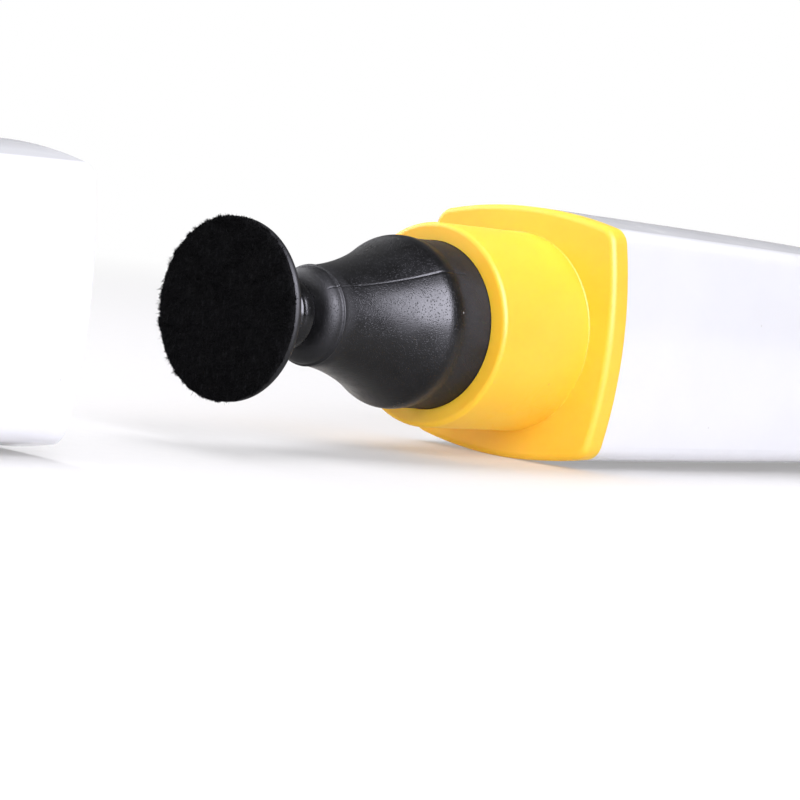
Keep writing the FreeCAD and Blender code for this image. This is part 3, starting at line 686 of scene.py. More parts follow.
@dataclass(frozen=True)
class Hair:
    """Soft natural brush hair, darker at the root than at the tip.

    Attributes:
        name: The material's name.
        root: The colour at the root.
        tip: The colour at the tip.
        start_x: Where the hair begins along the pen.
        end_x: Where the hair ends along the pen.
        relief: How far one strand stands above the next.
    """

    name: str
    root: Colour
    tip: Colour
    start_x: float
    end_x: float
    relief: float = 0.01 * MM

    def build(self, effects: Effects) -> bpy.types.Material:
        """Build the material.

        Args:
            effects: The effect groups that the finishes share.

        Returns:
            The finished material.
        """
        start = MaterialStart(self.name)
        board = start.board
        split = board.add("SeparateXYZ")
        board.put(split.inputs[0], start.place)
        along = board.span(split.outputs["X"], self.start_x, self.end_x)
        strands = board.noise(board.turned(start.place, (0.02, 1.0, 1.0)), 7000.0, 3.0, 0.7)
        tone = board.blend(along, self.root, self.tip)
        tone = board.blend(board.span(strands, 0.45, 0.8, 0.0, 0.5), tone, self.tip)
        rough = board.span(strands, 0.3, 0.7, 0.38, 0.58)
        start.set(Base_Color=tone, Roughness=rough)
        start.bump(strands, self.relief)
        return start.material


@dataclass(frozen=True)
class Porous:
    """Foam or felt, full of pores or fibres.

    Attributes:
        name: The material's name.
        colour: The colour of its surface.
        hollow: Painted shade: the darker colour inside its pores.
        pores: How fine the pores are.
        depth: How deep the pores are.
        glint: How much loose carbon lies on it: smoother specks, lighter grey partly by
            the carbon's own colour and partly by painted glint.
        carbon: The colour of those specks, partly painted glint.
    """

    name: str
    colour: Colour
    hollow: Colour
    pores: float = 2600.0
    depth: float = 0.12 * MM
    glint: float = 0.0
    carbon: Colour = (0.16, 0.16, 0.17)

    def build(self, effects: Effects) -> bpy.types.Material:
        """Build the material.

        Args:
            effects: The effect groups that the finishes share.

        Returns:
            The finished material.
        """
        start = MaterialStart(self.name)
        board = start.board
        cells = board.cells(start.place, self.pores)
        rim = board.span(cells.outputs["Distance"], 0.15, 0.6)
        cloud = board.noise(start.place, self.pores * 1.7, 4.0, 0.7)
        height = board.calc("MULTIPLY", board.calc("ADD", rim, 0.25), cloud)
        shine = board.effect(effects.dust, Place=start.place, Scale=5200.0, Reach=0.3,
                             Share=0.25).outputs["Specks"]
        shine = board.calc("MULTIPLY", shine, self.glint)
        # Painted shade: the pores are darker than the surface round them.
        tone = board.blend(rim, self.hollow, self.colour)
        # Loose carbon specks: lighter grey, partly their own colour and partly painted glint.
        tone = board.blend(shine, tone, self.carbon)
        rough = board.calc("SUBTRACT", board.span(cloud, 0.2, 0.8, 0.82, 0.96),
                           board.calc("MULTIPLY", shine, 0.4))
        start.set(Base_Color=tone, Roughness=rough, Specular_IOR_Level=0.3)
        start.bump(height, self.depth)
        return start.material


class Look(Enum):
    """The named finishes of the pen."""

    WHITE = MouldedPlastic("white_gloss", (0.77, 0.77, 0.80), (0.75, 0.75, 0.785), gloss=0.16,
                           spread=0.04, ripple=0.004 * MM, coat=0.25, glow=0.08,
                           glow_reach=(1.0, 0.9, 0.85), dust=0.02)
    # Painted shade: the badge is greyer than the white cap so that it reads as sunk in its
    # recess.
    BADGE = MouldedPlastic("badge_grey_painted_shade", (0.58, 0.58, 0.60), (0.56, 0.56, 0.585), gloss=0.24,
                           spread=0.05, ripple=0.003 * MM, dust=0.02)
    YELLOW = MouldedPlastic("yellow_satin", (1.0, 0.57, 0.036), (0.99, 0.54, 0.030), gloss=0.50,
                            spread=0.1, ripple=0.006 * MM, shine=0.3, glow=0.30,
                            glow_reach=(1.8, 0.50, 0.05), dust=0.03, fleck=(0.75, 0.40, 0.08))
    LINER = MouldedPlastic("natural_matt", (0.70, 0.70, 0.71), (0.66, 0.66, 0.67), gloss=0.42,
                           spread=0.1, ripple=0.01 * MM, glow=0.1)
    DARK = MouldedPlastic("dark_matt", (0.030, 0.030, 0.033), (0.022, 0.022, 0.025), gloss=0.48,
                          spread=0.1, ripple=0.01 * MM, fleck=(0.2, 0.2, 0.2))
    RESIN = MouldedPlastic("set_resin", (0.42, 0.30, 0.14), (0.34, 0.22, 0.09), gloss=0.22,
                           spread=0.08, ripple=0.03 * MM, glow=0.2)
    HOLDER = MouldedRubber("holder_rubber",
                           matt=(AXIS.disc + 16.7 * MM, AXIS.disc + 17.5 * MM),
                           front=(AXIS.disc + 9.2 * MM, AXIS.disc + 8.2 * MM))
    TIP = MouldedRubber("tip_rubber", gloss=0.24, pit_depth=0.004 * MM, pit_share=0.2,
                        dust=0.02, matt=(AXIS.disc + 4.2 * MM, AXIS.disc + 3.0 * MM))
    VELOUR = Velour("black_velour")
    STEEL = Metal("spring_steel", (0.62, 0.62, 0.64))
    FERRULE = Metal("ferrule_metal", (0.80, 0.80, 0.82), gloss=0.22)
    # The second colour of each is painted shade inside the pores.
    FOAM = Porous("grey_foam", (0.10, 0.10, 0.105), (0.03, 0.03, 0.032))
    CARBON = Porous("carbon_felt", (0.016, 0.016, 0.017), (0.006, 0.006, 0.006), pores=4200.0,
                    depth=0.06 * MM, glint=0.7)


@dataclass
class Wardrobe:
    """Builds each finish once and puts it on pieces.

    Attributes:
        effects: The effect groups that the finishes share.
        made: The materials made so far, by finish.
    """

    effects: Effects = field(default_factory=Effects)
    made: dict[str, bpy.types.Material] = field(default_factory=dict)

    def material(self, finish: Finish) -> bpy.types.Material:
        """Find a finish's material, building it the first time.

        Args:
            finish: The finish.

        Returns:
            Its material.
        """
        if finish.name not in self.made:
            self.made[finish.name] = finish.build(self.effects)
        return self.made[finish.name]

    def dress(self, piece: bpy.types.Object, finish: Finish) -> None:
        """Put a finish on a piece's only material slot."""
        piece.data.materials.clear()
        piece.data.materials.append(self.material(finish))


# ------------------------------------------------------------------ shapes


@dataclass
class Outline:
    """An outline of (along, radius) points about the pen's axis, drawn one step at a time.

    Attributes:
        points: The points drawn so far, in metres from the disc's face.
    """

    points: list[tuple[float, float]] = field(default_factory=list)

    def to(self, along: float, radius: float) -> Outline:
        """Go straight to a point, given in millimetres."""
        self.points.append((along * MM, radius * MM))
        return self

    def round_to(self, along: float, radius: float, bend: float, steps: int) -> Outline:
        """Go to a point by an arc.

        Args:
            along: The point's place along the axis, in millimetres.
            radius: The point's distance from the axis, in millimetres.
            bend: The arc's radius, in millimetres; above 0 it curves to the left of the way.
            steps: How many points the arc has.

        Returns:
            The outline itself.
        """
        start = Vector(self.points[-1])
        end = Vector((along * MM, radius * MM))
        way = end - start
        half = way.length / 2
        rise = math.sqrt(max((bend * MM) ** 2 - half ** 2, 0.0))
        left = Vector((-way.y, way.x)).normalized()
        centre = (start + end) / 2 + left * math.copysign(rise, bend)
        first = start - centre
        turn = first.angle_signed(end - centre)
        for step in range(1, steps + 1):
            angle = -turn * step / steps
            spoke = Matrix.Rotation(angle, 2) @ first
            spot = centre + spoke
            self.points.append((spot.x, spot.y))
        return self


def finished_object(name: str, bm: bmesh.types.BMesh, sharp: float = 40.0) -> bpy.types.Object:
    """Turn a bmesh into a smooth object at the origin.

    Args:
        name: The object's name.
        bm: The shape, which is freed.
        sharp: Edges that turn by more than this many degrees stay sharp.

    Returns:
        The new object.
    """
    mesh = bpy.data.meshes.new(name)
    bm.to_mesh(mesh)
    bm.free()
    mesh.shade_smooth()
    mesh.set_sharp_from_angle(angle=math.radians(sharp))
    made = bpy.data.objects.new(name, mesh)
    bpy.context.scene.collection.objects.link(made)
    return made


def turned_shape(outline: Outline, steps: int, closed: bool = True) -> bmesh.types.BMesh:
    """Spin an outline about the pen's axis.

    Args:
        outline: The outline; its ends lie on the axis unless it is closed on itself.
        steps: How many steps the turn has.
        closed: Whether the outline's last point is joined to its first.

    Returns:
        The closed shape, with its faces outward.
    """
    bm = bmesh.new()
    verts = [bm.verts.new(AXIS.point(along, up=radius)) for along, radius in outline.points]
    edges = [bm.edges.new(pair) for pair in zip(verts, verts[1:])]
    if closed:
        edges.append(bm.edges.new((verts[-1], verts[0])))
    bmesh.ops.spin(bm, geom=verts + edges, cent=AXIS.point(0.0), axis=Vector((1, 0, 0)),
                   angle=math.tau, steps=steps, use_merge=True)
    bmesh.ops.remove_doubles(bm, verts=bm.verts, dist=1e-7)
    bmesh.ops.dissolve_degenerate(bm, edges=bm.edges, dist=1e-8)
    bmesh.ops.recalc_face_normals(bm, faces=bm.faces)
    return bm


def radial(vert: bmesh.types.BMVert) -> Vector:
    """Return a vertex's offset from the pen's axis."""
    return Vector((0.0, vert.co.y - AXIS.y, vert.co.z - AXIS.z))


@dataclass
class RubberHolder:
    """The rubber bell that carries the cleaning tip.

    Attributes:
        front: Where its face lies, in millimetres behind the disc's face.
        neck: The neck's radius, in millimetres.
        mouth: The radius of the hole that the tip's stem comes out of, in millimetres.
        waist: Where the flare ends and the shoulder begins, as (along, radius).
        flare: The radius of the flare's long hollow curve, in millimetres.
        shoulder: The bell's widest place, as (along, radius).
        root_step: How far the root lies below the shoulder, in millimetres.
        part_line: The angle of the mould's parting line above the side, in degrees.
        part_width: Half the width of the parting line, in millimetres.
        part_depth: The depth of the parting line, in millimetres.
        part_span: The radius from which the parting line is cut, and how far back it runs
            from the disc's face, in millimetres.
        wave: The height of the soft moulding's unevenness, in millimetres.
        wave_end: How far back the unevenness runs, in millimetres.
        steps: How many steps the turn has.
    """

    front: float = 6.89
    neck: float = 3.34
    mouth: float = 1.38
    waist: tuple[float, float] = (15.6, 5.74)
    flare: float = 20.5
    shoulder: tuple[float, float] = (16.4, 5.96)
    root_step: float = 0.12
    part_line: float = 42.0
    part_width: float = 0.045
    part_depth: float = 0.040
    part_span: tuple[float, float] = (2.9, 21.0)
    wave: float = 0.02
    wave_end: float = 19.5
    steps: int = 192

    def outline(self) -> Outline:
        """Draw the bell: bore, root, land, shoulder, flare, ridge, round neck and face.

        Returns:
            The outline, closed on itself.
        """
        core_low, core_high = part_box("holder_core")
        end = (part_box("tip_holder")[1].x - AXIS.disc) / MM
        face = (core_low.x - AXIS.disc) / MM - 0.005
        bore = (core_high.z - AXIS.z) / MM + 0.03
        root = self.shoulder[1] - self.root_step
        drawn = Outline()
        drawn.to(face, self.mouth).to(face, bore).to(end, bore).to(end, root)
        drawn.to(18.4, root).round_to(17.3, root + 0.045, -14.0, 5)
        drawn.round_to(*self.shoulder, 7.4, 6).round_to(*self.waist, 1.6, 8)
        drawn.round_to(8.16, self.neck, -self.flare, 36)
        drawn.round_to(8.08, self.neck + 0.035, -0.12, 3)
        drawn.round_to(7.92, self.neck + 0.015, 0.10, 6)
        drawn.round_to(7.80, self.neck - 0.085, -0.16, 4)
        drawn.round_to(self.front, self.neck - 1.02, 0.93, 12)
        drawn.round_to(self.front + 0.02, self.mouth + 0.08, -6.0, 4)
        drawn.round_to(face, self.mouth, 0.09, 3)
        drawn.points.pop()
        return drawn

    def build(self, wardrobe: Wardrobe) -> bpy.types.Object:
        """Make the bell with its parting lines, and let it stand for the plain one.

        Args:
            wardrobe: The finishes, built once each.

        Returns:
            The bell.
        """
        bm = turned_shape(self.outline(), self.steps)
        self.cut_part_lines(bm)
        self.settle(bm)
        made = finished_object("rubber_holder", bm, sharp=50.0)
        wardrobe.dress(made, Look.HOLDER.value)
        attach(made, "pen")
        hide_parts("tip_holder")
        return made

    def cut_part_lines(self, bm: bmesh.types.BMesh) -> None:
        """Mark a narrow strip along two opposite sides and sink its middle a hair.

        Args:
            bm: The bell's shape.
        """
        step = math.tau / self.steps
        for side in (0.0, math.pi):
            angle = math.pi - math.radians(self.part_line) + side
            nearest = round((math.pi / 2 - angle) / step) * step
            angle = math.pi / 2 - nearest
            way = Vector((0.0, math.cos(angle), math.sin(angle)))
            loop = [edge for edge in bm.edges if self.lies_along(edge, way)]
            cut = bmesh.ops.bevel(bm, geom=loop, offset=self.part_width * MM,
                                  offset_type="OFFSET", segments=2, profile=0.5,
                                  affect="EDGES", material=-1, clamp_overlap=True)
            for vert in cut["verts"]:
                spoke = radial(vert)
                if spoke.normalized().cross(way).length < 1e-3 and spoke.length > 3.0 * MM:
                    vert.co -= way * self.part_depth * MM

    def lies_along(self, edge: bmesh.types.BMEdge, way: Vector) -> bool:
        """Tell whether an outside edge runs along the axis on one side of it.

        Args:
            edge: The edge.
            way: The direction from the axis to that side.

        Returns:
            True when it does.
        """
        inner, back = self.part_span
        for vert in edge.verts:
            spoke = radial(vert)
            if spoke.length < inner * MM or spoke.normalized().dot(way) < 0.99999:
                return False
            if vert.co.x > AXIS.disc + back * MM:
                return False
        return True

    def settle(self, bm: bmesh.types.BMesh) -> None:
        """Give the soft moulding a slight unevenness.

        Args:
            bm: The bell's shape.
        """
        for vert in bm.verts:
            spoke = radial(vert)
            along = (vert.co.x - AXIS.disc) / MM
            if spoke.length > 3.0 * MM and along < self.wave_end:
                swell = noise.noise(Vector((along * 0.35, *(spoke.yz / MM * 0.3))))
                vert.co += spoke.normalized() * swell * self.wave * MM


@dataclass
class CleaningTip:
    """The disc that wipes the lens: rubber backing, velour face and its fibres.

    Attributes:
        radius: The velour's radius, in millimetres.
        fibres: How many fibres stand on the face.
        edge_fibres: How many fibres stand out round the edge.
        strays: How many long loose fibres there are.
        fibre_width: A fibre's radius at its foot, in millimetres.
        bore: The radius of the hole that the pivot's stem fills, in millimetres.
        rings: How many rings of faces the velour has.
        batch: How many fibres are made at a time.
        seed: The seed of the fibres' places and sizes. The lean of those on the face also
            follows Blender's noise_vector, which is not seeded and differs from run to run.
    """

    radius: float = 5.98
    fibres: int = 12000
    edge_fibres: int = 3000
    strays: int = 22
    fibre_width: float = 0.026
    bore: float = 0.88
    rings: int = 25
    batch: int = 300
    seed: int = 11

    def build(self, wardrobe: Wardrobe) -> list[bpy.types.Object]:
        """Make the backing, the velour and its fibres."""
        return [self.backing(wardrobe), self.velour(wardrobe)]

    def backing(self, wardrobe: Wardrobe) -> bpy.types.Object:
        """Make the rubber disc and its hub, and let them stand for the plain ones.

        Args:
            wardrobe: The finishes, built once each.

        Returns:
            The backing.
        """
        back = (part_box("tip_cup")[1].x - AXIS.disc) / MM
        stem = (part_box("tip_pivot")[0].x - AXIS.disc) / MM
        drawn = Outline()
        drawn.to(0.5, 0.0).to(stem, 0.0).to(stem, self.bore).to(back - 0.12, self.bore)
        drawn.round_to(back, self.bore + 0.12, -0.12, 3)
        drawn.to(back, 1.25).round_to(back - 0.10, 1.86, 1.9, 4)
        drawn.round_to(back - 0.62, 2.38, 0.54, 9)
        drawn.round_to(back - 1.32, 2.27, 1.5, 6)
        drawn.round_to(back - 1.62, 2.12, 0.3, 5)
        drawn.round_to(back - 1.9, 2.05, -0.36, 4)
        drawn.to(3.6, 2.08).round_to(2.25, 2.45, -3.6, 4)
        drawn.round_to(1.25, 5.3, -3.4, 10)
        drawn.to(1.08, 5.72).round_to(0.84, 5.98, 0.27, 6)
        drawn.round_to(0.6, 5.93, 0.3, 5)
        drawn.to(0.5, 5.82)
        bm = turned_shape(drawn, 160, closed=False)
        made = finished_object("tip_backing", bm, sharp=45.0)
        wardrobe.dress(made, Look.TIP.value)
        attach(made, "tip")
        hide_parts("tip_cup")
        return made

    def velour(self, wardrobe: Wardrobe) -> bpy.types.Object:
        """Make the velour face with its crown, its soft edge and its fibres.

        Args:
            wardrobe: The finishes, built once each.

        Returns:
            The velour.
        """
        drawn = Outline()
        drawn.to(0.49, 0.0).to(0.49, self.radius - 0.12).round_to(0.36, self.radius, 0.14, 4)
        drawn.to(0.26, self.radius + 0.01).round_to(0.05, self.radius - 0.22, 0.24, 6)
        for ring in range(1, self.rings + 1):
            share = 1 - ring / self.rings
            drawn.to(0.05 - 0.03 * (1 - share ** 2), (self.radius - 0.22) * share)
        bm = turned_shape(drawn, 180, closed=False)
        for vert in bm.verts:
            self.ruffle(vert)
        chance = random.Random(self.seed)
        for batch in self.fibre_batches(chance):
            bm.from_mesh(batch)
            bpy.data.meshes.remove(batch)
        made = finished_object("velour_disc", bm, sharp=80.0)
        wardrobe.dress(made, Look.VELOUR.value)
        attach(made, "tip")
        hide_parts("chamois_pad")
        return made

    def ruffle(self, vert: bmesh.types.BMVert) -> None:
        """Move a vertex of the face a little in or out, and make the edge uneven.

        Args:
            vert: The vertex.
        """
        spoke = radial(vert)
        along = (vert.co.x - AXIS.disc) / MM
        if along > 0.42:
            return
        spot = spoke / MM
        lump = noise.noise(spot * 1.6) * 0.035 + noise.noise(spot * 5.0) * 0.02
        vert.co.x += lump * MM
        share = min(1.0, max(0.0, (spot.length - 5.4) / 0.6))
        vert.co += spoke.normalized() * noise.noise(spot * 3.1) * 0.05 * share * MM

    def fibre_batches(self, chance: random.Random) -> Iterable[bpy.types.Mesh]:
        """Make the fibres in meshes of one batch each.

        Args:
            chance: The source of the random draws.

        Yields:
            The meshes, one at a time.
        """
        kinds = [self.face_fibre] * self.fibres + [self.edge_fibre] * self.edge_fibres
        kinds += [self.stray_fibre] * self.strays
        for start in range(0, len(kinds), self.batch):
            bm = bmesh.new()
            for kind in kinds[start:start + self.batch]:
                foot, way, length, width = kind(chance)
                self.add_fibre(bm, foot, way, length, width)
            batch = bpy.data.meshes.new("fibres")
            bm.to_mesh(batch)
            bm.free()
            yield batch

    def face_fibre(self, chance: random.Random) -> tuple[Vector, Vector, float, float]:
        """Choose a fibre on the face, leaning with the nap.

        Args:
            chance: The source of the random draws.

        Returns:
            The fibre's foot, its direction, its length and its radius.
        """
        away = self.radius * math.sqrt(chance.random()) * 0.995
        angle = chance.uniform(0.0, math.tau)
        spot = Vector((0.0, away * math.cos(angle), away * math.sin(angle)))
        drift = noise.noise_vector(spot * 0.55)
        fine = noise.noise_vector(spot * 3.0)
        lean = Vector((0.0, drift.y + 0.5 * fine.y, drift.z + 0.5 * fine.z)) * 1.7
        lean += Vector((0.0, chance.gauss(0, 0.42), chance.gauss(0, 0.42)))
        way = (Vector((-1.0, 0.0, 0.0)) + lean).normalized()
        foot = AXIS.point(0.07 * MM, spot.y * MM, spot.z * MM)
        length = chance.uniform(0.12, 0.30) * (1.15 + 0.5 * fine.x)
        return foot, way, length * MM, self.fibre_width * chance.uniform(0.7, 1.3) * MM

    def edge_fibre(self, chance: random.Random) -> tuple[Vector, Vector, float, float]:
        """Choose a fibre that stands out from the edge, in clumps.

        Args:
            chance: The source of the random draws.

        Returns:
            The fibre's foot, its direction, its length and its radius.
        """
        angle = chance.uniform(0.0, math.tau)
        out = Vector((0.0, math.cos(angle), math.sin(angle)))
        clump = noise.noise(out * 14.0) + 0.6 * noise.noise(out * 41.0)
        depth = chance.uniform(0.03, 0.42)
        away = self.radius - (0.10 if depth < 0.12 else 0.03)
        foot = AXIS.point(depth * MM, out.y * away * MM, out.z * away * MM)
        swirl = Vector((0.0, -out.z, out.y)) * (chance.gauss(0, 0.55) + 0.8 * clump)
        way = (out + swirl + Vector((chance.uniform(-0.9, 0.25), 0.0, 0.0))).normalized()
        length = chance.uniform(0.05, 0.13) * max(0.25, 1.0 + 2.2 * clump)
        return foot, way, length * MM, self.fibre_width * chance.uniform(0.9, 1.7) * MM

    def stray_fibre(self, chance: random.Random) -> tuple[Vector, Vector, float, float]:
        """Choose a long thin fibre that has worked loose near the edge.

        Args:
            chance: The source of the random draws.

        Returns:
            The fibre's foot, its direction, its length and its radius.
        """
        angle = chance.uniform(0.0, math.tau)
        out = Vector((0.0, math.cos(angle), math.sin(angle)))
        away = self.radius - 0.06
        foot = AXIS.point(chance.uniform(0.05, 0.4) * MM, out.y * away * MM, out.z * away * MM)
        swirl = Vector((chance.uniform(-0.7, 0.1), -out.z * chance.gauss(0, 0.9),
                        out.y * chance.gauss(0, 0.9)))
        way = (out + swirl).normalized()
        return foot, way, chance.uniform(0.22, 0.42) * MM, self.fibre_width * 0.45 * MM

    def add_fibre(self, bm: bmesh.types.BMesh, foot: Vector, way: Vector, length: float,
                  width: float) -> None:
        """Add one three-sided tapering fibre.

        Args:
            bm: The shape that the fibre goes into.
            foot: Where it starts.
            way: Its direction.
            length: Its length.
            width: Its radius at the foot.
        """
        turn = way.to_track_quat("Z", "Y").to_matrix().to_4x4()
        place = Matrix.Translation(foot + way * length / 2) @ turn
        bmesh.ops.create_cone(bm, cap_ends=True, segments=3, radius1=width,
                              radius2=width * 0.15, depth=length, matrix=place)


@dataclass
class CapPad:
    """The carbon pad and its foam, deep in the cap.

    Attributes:
        steps: How many steps the turn has.
        crown: How far the felt's face stands up in the middle, in millimetres.
        rings: How many rings of faces a pad's face has.
    """

    steps: int = 120
    crown: float = 0.18
    rings: int = 18

    def build(self, wardrobe: Wardrobe) -> list[bpy.types.Object]:
        """Make the felt and the foam in the room the frame keeps for them.

        Args:
            wardrobe: The finishes, built once each.

        Returns:
            The felt and the foam.
        """
        felt = self.cushion("carbon_felt_pad", "carbon_pad", self.crown)
        foam = self.cushion("foam_disc", "foam_backing", 0.0)
        for piece, finish, slot in ((felt, Look.CARBON, "carbon_felt"),
                                    (foam, Look.FOAM, "foam")):
            wardrobe.dress(piece, finish.value)
            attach(piece, "cap")
        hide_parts("carbon_pad")
        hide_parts("foam_backing")
        return [felt, foam]

    def cushion(self, name: str, node: str, crown: float) -> bpy.types.Object:
        """Make a soft disc that fills a node's box, with rounded edges and a crowned face.

        Args:
            name: The new piece's name.
            node: The frame's node that it fills.
            crown: How far the face's middle stands past its edge, in millimetres.

        Returns:
            The new piece.
        """
        low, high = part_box(node)
        back, front = (low.x - AXIS.disc) / MM, (high.x - AXIS.disc) / MM
        radius = (high.z - low.z) / 2 / MM
        edge = front - crown
        drawn = Outline()
        drawn.to(back, 0.0).to(back, radius - 0.25)
        drawn.round_to(back + 0.25, radius, 0.25, 5)
        drawn.round_to(edge - 0.35, radius - 0.02, -9.0, 4)
        drawn.round_to(edge, radius - 0.38, 0.36, 6)
        for ring in range(1, self.rings + 1):
            share = 1 - ring / self.rings
            drawn.to(edge + crown * (1 - share ** 2), (radius - 0.38) * share)
        drawn.points.reverse()
        bm = turned_shape(drawn, self.steps, closed=False)
        for vert in bm.verts:
            if vert.co.x > low.x + 0.4 * MM:
                spot = radial(vert) / MM
                vert.co.x += min(0.0, noise.noise(spot * 2.2) - 0.1) * 0.05 * MM
        return finished_object(name, bm, sharp=60.0)


@dataclass
class HairBrush:
    """The tuft of hair that slides out of the pen.

    Attributes:
        strands: How many strands the tuft has.
        stops: How many points a strand has.
        strand_width: A strand's radius, in millimetres.
        fill: How much of its room the hair takes, across the ferrule and at its fullest.
        point: How far the outer strands stay short of the tip, in millimetres.
        seed: The seed of the strands' places.
    """

    strands: int = 1500
    stops: int = 6
    strand_width: float = 0.05
    fill: tuple[float, float] = (0.96, 0.98)
    point: float = 5.2
    seed: int = 23

    def build(self, wardrobe: Wardrobe) -> bpy.types.Object:
        """Make the tuft and let it stand for the plain one.

        Args:
            wardrobe: The finishes, built once each.

        Returns:
            The tuft.
        """
        low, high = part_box("brush_hair")
        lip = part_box("brush_ferrule")[1].x
        root = (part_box("hair_plug")[1].z - AXIS.z) * self.fill[0]
        swell = (high.z - low.z) / 2
        curve = bpy.data.curves.new("tuft", "CURVE")
        curve.dimensions = "3D"
        curve.bevel_depth = self.strand_width * MM
        curve.bevel_resolution = 0
        curve.use_fill_caps = True
        chance = random.Random(self.seed)
        for _ in range(self.strands):
            self.add_strand(curve, chance, (low.x, lip, high.x), (root, swell))
        holder = bpy.data.objects.new("tuft", curve)
        bpy.context.scene.collection.objects.link(holder)
        graph = bpy.context.evaluated_depsgraph_get()
        mesh = bpy.data.meshes.new_from_object(holder.evaluated_get(graph))
        bpy.data.objects.remove(holder)
        mesh.name = "brush_tuft"
        mesh.shade_smooth()
        made = bpy.data.objects.new("brush_tuft", mesh)
        bpy.context.scene.collection.objects.link(made)
        finish = Hair("brush_hair", (0.016, 0.011, 0.008), (0.060, 0.040, 0.026), lip, high.x)
        wardrobe.dress(made, finish)
        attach(made, "brush")
        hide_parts("brush_hair")
        return made

    def add_strand(self, curve: bpy.types.Curve, chance: random.Random,
                   ends: tuple[float, float, float], radii: tuple[float, float]) -> None:
        """Add one strand, which leaves the ferrule, swells outward and ends in the point.

        Args:
            curve: The curve that the strand goes into.
            chance: The source of the random draws.
            ends: Where the hair begins, leaves the ferrule and ends, along X.
            radii: The tuft's radius in the ferrule and at its fullest.
        """
        start, lip, tip = ends
        root, swell = radii
        away = math.sqrt(chance.random())
        angle = chance.uniform(0.0, math.tau)
        short = (1.0 - math.cos(away * 1.25)) * self.point
        reach = tip - short * MM - abs(chance.gauss(0, 0.45)) * MM
        wander = Vector((0.0, chance.gauss(0, 0.10), chance.gauss(0, 0.10))) * MM
        strand = curve.splines.new("POLY")
        strand.points.add(self.stops - 1)
        for index, point in enumerate(strand.points):
            share = index / (self.stops - 1)
            along = start + (reach - start) * share
            out = max(0.0, min(1.0, (along - lip) / (tip - lip)))
            full = root + (swell - root) * math.sin(min(1.0, out * 1.6) * math.pi / 2)
            taper = 1.0 - 0.55 * max(0.0, out - 0.45) / 0.55
            away_here = away * full * taper * self.fill[1]
            spot = Vector((0.0, math.cos(angle), math.sin(angle))) * away_here
            spot += wander * out
            if spot.length > swell * self.fill[1]:
                spot *= swell * self.fill[1] / spot.length
            point.co = (along, AXIS.y + spot.y, AXIS.z + spot.z, 1.0)
            point.radius = 1.0 - 0.75 * max(0.0, share - 0.6) / 0.4


@dataclass
class HardPieces:
    """The frame's own pieces, each with the finish it is made in.

    Attributes:
        looks: Each node's finish.
    """

    looks: dict[str, Look] = field(default_factory=lambda: {
        "body_shell": Look.WHITE,
        "tip_collar": Look.YELLOW,
        "holder_core": Look.DARK,
        "core_clip": Look.STEEL,
        "guide_tube": Look.LINER,
        "tail_ring": Look.YELLOW,
        "tip_pivot": Look.DARK,
        "cap_shell": Look.WHITE,
        "cap_badge": Look.BADGE,
        "cap_liner": Look.LINER,
        "pad_cup": Look.DARK,
        "slider_button": Look.YELLOW,
        "brush_carriage": Look.DARK,
        "detent_spring": Look.STEEL,
        "brush_ferrule": Look.FERRULE,
        "hair_plug": Look.RESIN,
    })

    def build(self, wardrobe: Wardrobe) -> list[bpy.types.Object]:
        """Dress each node of the frame that shows as it is.

        Args:
            wardrobe: The finishes, built once each.

        Returns:
            The dressed nodes.
        """
        dressed = []
        for node, look in self.looks.items():
            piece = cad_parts[node]
            wardrobe.dress(piece, look.value)
            dressed.append(piece)
        return dressed


# ------------------------------------------------------------------ studio


class Reach(Enum):
    """What a light falls on: only matt shading, or only gloss."""

    MATT = "matt"
    GLOSS = "gloss"


@dataclass(frozen=True)
class SoftBox:
    """A soft rectangular light aimed at the pen.

    Attributes:
        name: The light's name.
        offset: Where it stands, from the disc's centre.
        size: Its width and height.
        power: Its power in watts.
        reach: What it lights.
        tint: Its colour.
    """

    name: str
    offset: tuple[float, float, float]
    size: tuple[float, float]
    power: float
    reach: Reach
    tint: Colour = (0.95, 0.95, 1.0)

    def build(self, target: Vector) -> None:
        """Hang the light so that it faces the target.

        Args:
            target: The point that it faces.
        """
        lamp = bpy.data.lights.new(self.name, "AREA")
        lamp.shape = "RECTANGLE"
        lamp.size, lamp.size_y = self.size
        lamp.energy = self.power
        lamp.color = self.tint
        made = bpy.data.objects.new(self.name, lamp)
        made.location = AXIS.point(*self.offset)
        made.rotation_mode = "QUATERNION"
        made.rotation_quaternion = (target - made.location).to_track_quat("-Z", "Y")
        made.visible_glossy = self.reach is not Reach.MATT
        made.visible_diffuse = self.reach is not Reach.GLOSS
        bpy.context.scene.collection.objects.link(made)


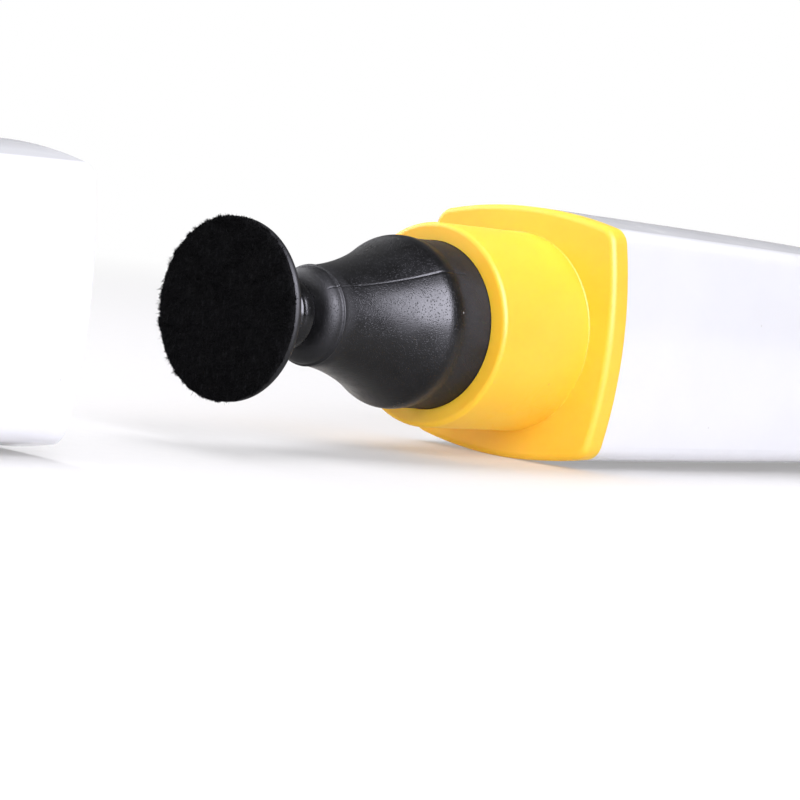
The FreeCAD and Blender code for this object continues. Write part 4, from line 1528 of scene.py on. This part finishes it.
@dataclass
class Studio:
    """Pale floor, soft light and the camera.

    Attributes:
        boxes: The soft boxes.
        world_light: How bright the room is round the object.
        floor_glow: How brightly the floor shines of itself.
        floor_radius: How far the floor reaches.
        sweep: Where the floor starts and ends its fade into the bright room.
        aim: How far behind the disc's face the lights point.
        lens: The camera's focal length in millimetres.
        eye: The camera's place from the disc's centre.
        heading: The camera's direction round Z, in degrees from +X.
        pitch: How far the camera looks down, in degrees.
        roll: How far the camera is turned about its own line of sight, in degrees.
    """

    boxes: tuple[SoftBox, ...] = (
        SoftBox("key_box", (-0.165, -0.375, 0.265), (0.32, 0.28), 1.95, Reach.MATT),
        SoftBox("shine_box", (-0.140, -0.425, 0.245), (0.60, 0.42), 24.0, Reach.GLOSS,
                (0.88, 0.87, 1.0)),
        SoftBox("front_box", (-0.50, 0.04, 0.30), (0.60, 0.60), 1.5, Reach.MATT),
        SoftBox("top_box", (0.10, 0.12, 0.50), (0.40, 0.40), 2.9, Reach.MATT),
        SoftBox("back_box", (-0.10, 0.44, 0.24), (0.60, 0.42), 6.0, Reach.GLOSS),
    )
    world_light: float = 0.25
    floor_glow: float = 0.24
    floor_radius: float = 3.0
    sweep: tuple[float, float] = (0.10, 0.42)
    aim: float = 0.02
    lens: float = 135.0
    eye: tuple[float, float, float] = (-0.13775, -0.13499, 0.00793)
    heading: float = 40.86
    pitch: float = 3.68
    roll: float = 7.05

    def build(self) -> None:
        """Build the floor, the room's light, the soft boxes and the camera."""
        scene = bpy.context.scene
        scene.view_settings.view_transform = "Standard"
        self.build_floor()
        self.build_room(scene)
        for box in self.boxes:
            box.build(AXIS.point(self.aim))
        self.build_camera(scene)

    def build_floor(self) -> None:
        """Lay a pale floor that fades into the bright room."""
        bm = bmesh.new()
        bmesh.ops.create_circle(bm, cap_ends=True, segments=96, radius=self.floor_radius)
        floor = finished_object("floor", bm)
        start = MaterialStart("pale_floor")
        board = start.board
        reach = board.add("VectorMath", operation="LENGTH")
        board.put(reach.inputs[0], start.place)
        fade = board.span(reach.outputs["Value"], *self.sweep)
        grain = board.noise(start.place, 900.0, 2.0)
        start.set(Base_Color=board.blend(grain, (0.46, 0.455, 0.450), (0.49, 0.484, 0.478)),
                  Roughness=0.6, Specular_IOR_Level=0.15,
                  Emission_Color=(1.0, 0.99, 0.985, 1.0), Emission_Strength=self.floor_glow)
        glow = board.add("Emission")
        mixed = board.add("MixShader")
        board.put(mixed.inputs[0], fade)
        board.put(mixed.inputs[1], start.shader.outputs[0])
        board.put(mixed.inputs[2], glow.outputs[0])
        output = start.material.node_tree.nodes["Material Output"]
        board.put(output.inputs["Surface"], mixed.outputs[0])
        floor.data.materials.append(start.material)

    def build_room(self, scene: bpy.types.Scene) -> None:
        """Fill the room with even white light and a brighter white background.

        Args:
            scene: The scene that gets the room.
        """
        world = bpy.data.worlds.new("room")
        world.use_nodes = True
        board = NodeBoard(world.node_tree)
        path = board.add("LightPath")
        strength = board.add("MapRange")
        board.put(strength.inputs["Value"], path.outputs["Is Camera Ray"])
        strength.inputs["To Min"].default_value = self.world_light
        strength.inputs["To Max"].default_value = 1.0
        backdrop = world.node_tree.nodes["Background"]
        backdrop.inputs["Color"].default_value = (1.0, 1.0, 1.0, 1.0)
        board.put(backdrop.inputs["Strength"], strength.outputs["Result"])
        scene.world = world

    def build_camera(self, scene: bpy.types.Scene) -> None:
        """Stand the camera in front of the disc, close to the table.

        Args:
            scene: The scene that gets the camera.
        """
        data = bpy.data.cameras.new("camera")
        data.lens = self.lens
        data.clip_start = 0.01
        camera = bpy.data.objects.new("camera", data)
        scene.collection.objects.link(camera)
        camera.location = AXIS.point(*self.eye)
        heading, pitch = math.radians(self.heading), math.radians(self.pitch)
        ahead = Vector((math.cos(heading) * math.cos(pitch),
                        math.sin(heading) * math.cos(pitch), -math.sin(pitch)))
        level = ahead.to_track_quat("-Z", "Y").to_matrix()
        turn = Matrix.Rotation(math.radians(self.roll), 3, "Z")
        camera.rotation_mode = "QUATERNION"
        camera.rotation_quaternion = (level @ turn).to_quaternion()
        scene.camera = camera


def main() -> None:
    """Build the looks in order and report each piece."""
    logging.basicConfig(level=logging.INFO, format="%(name)s: %(message)s")
    wardrobe = Wardrobe()
    for maker in (HardPieces(), RubberHolder(), CleaningTip(), CapPad(), HairBrush()):
        made = maker.build(wardrobe)
        for piece in made if isinstance(made, list) else [made]:
            log.info("%s: %s, %d faces", type(maker).__name__, piece.name,
                     len(piece.data.polygons))
    Studio().build()


if __name__ == "__main__":
    main()
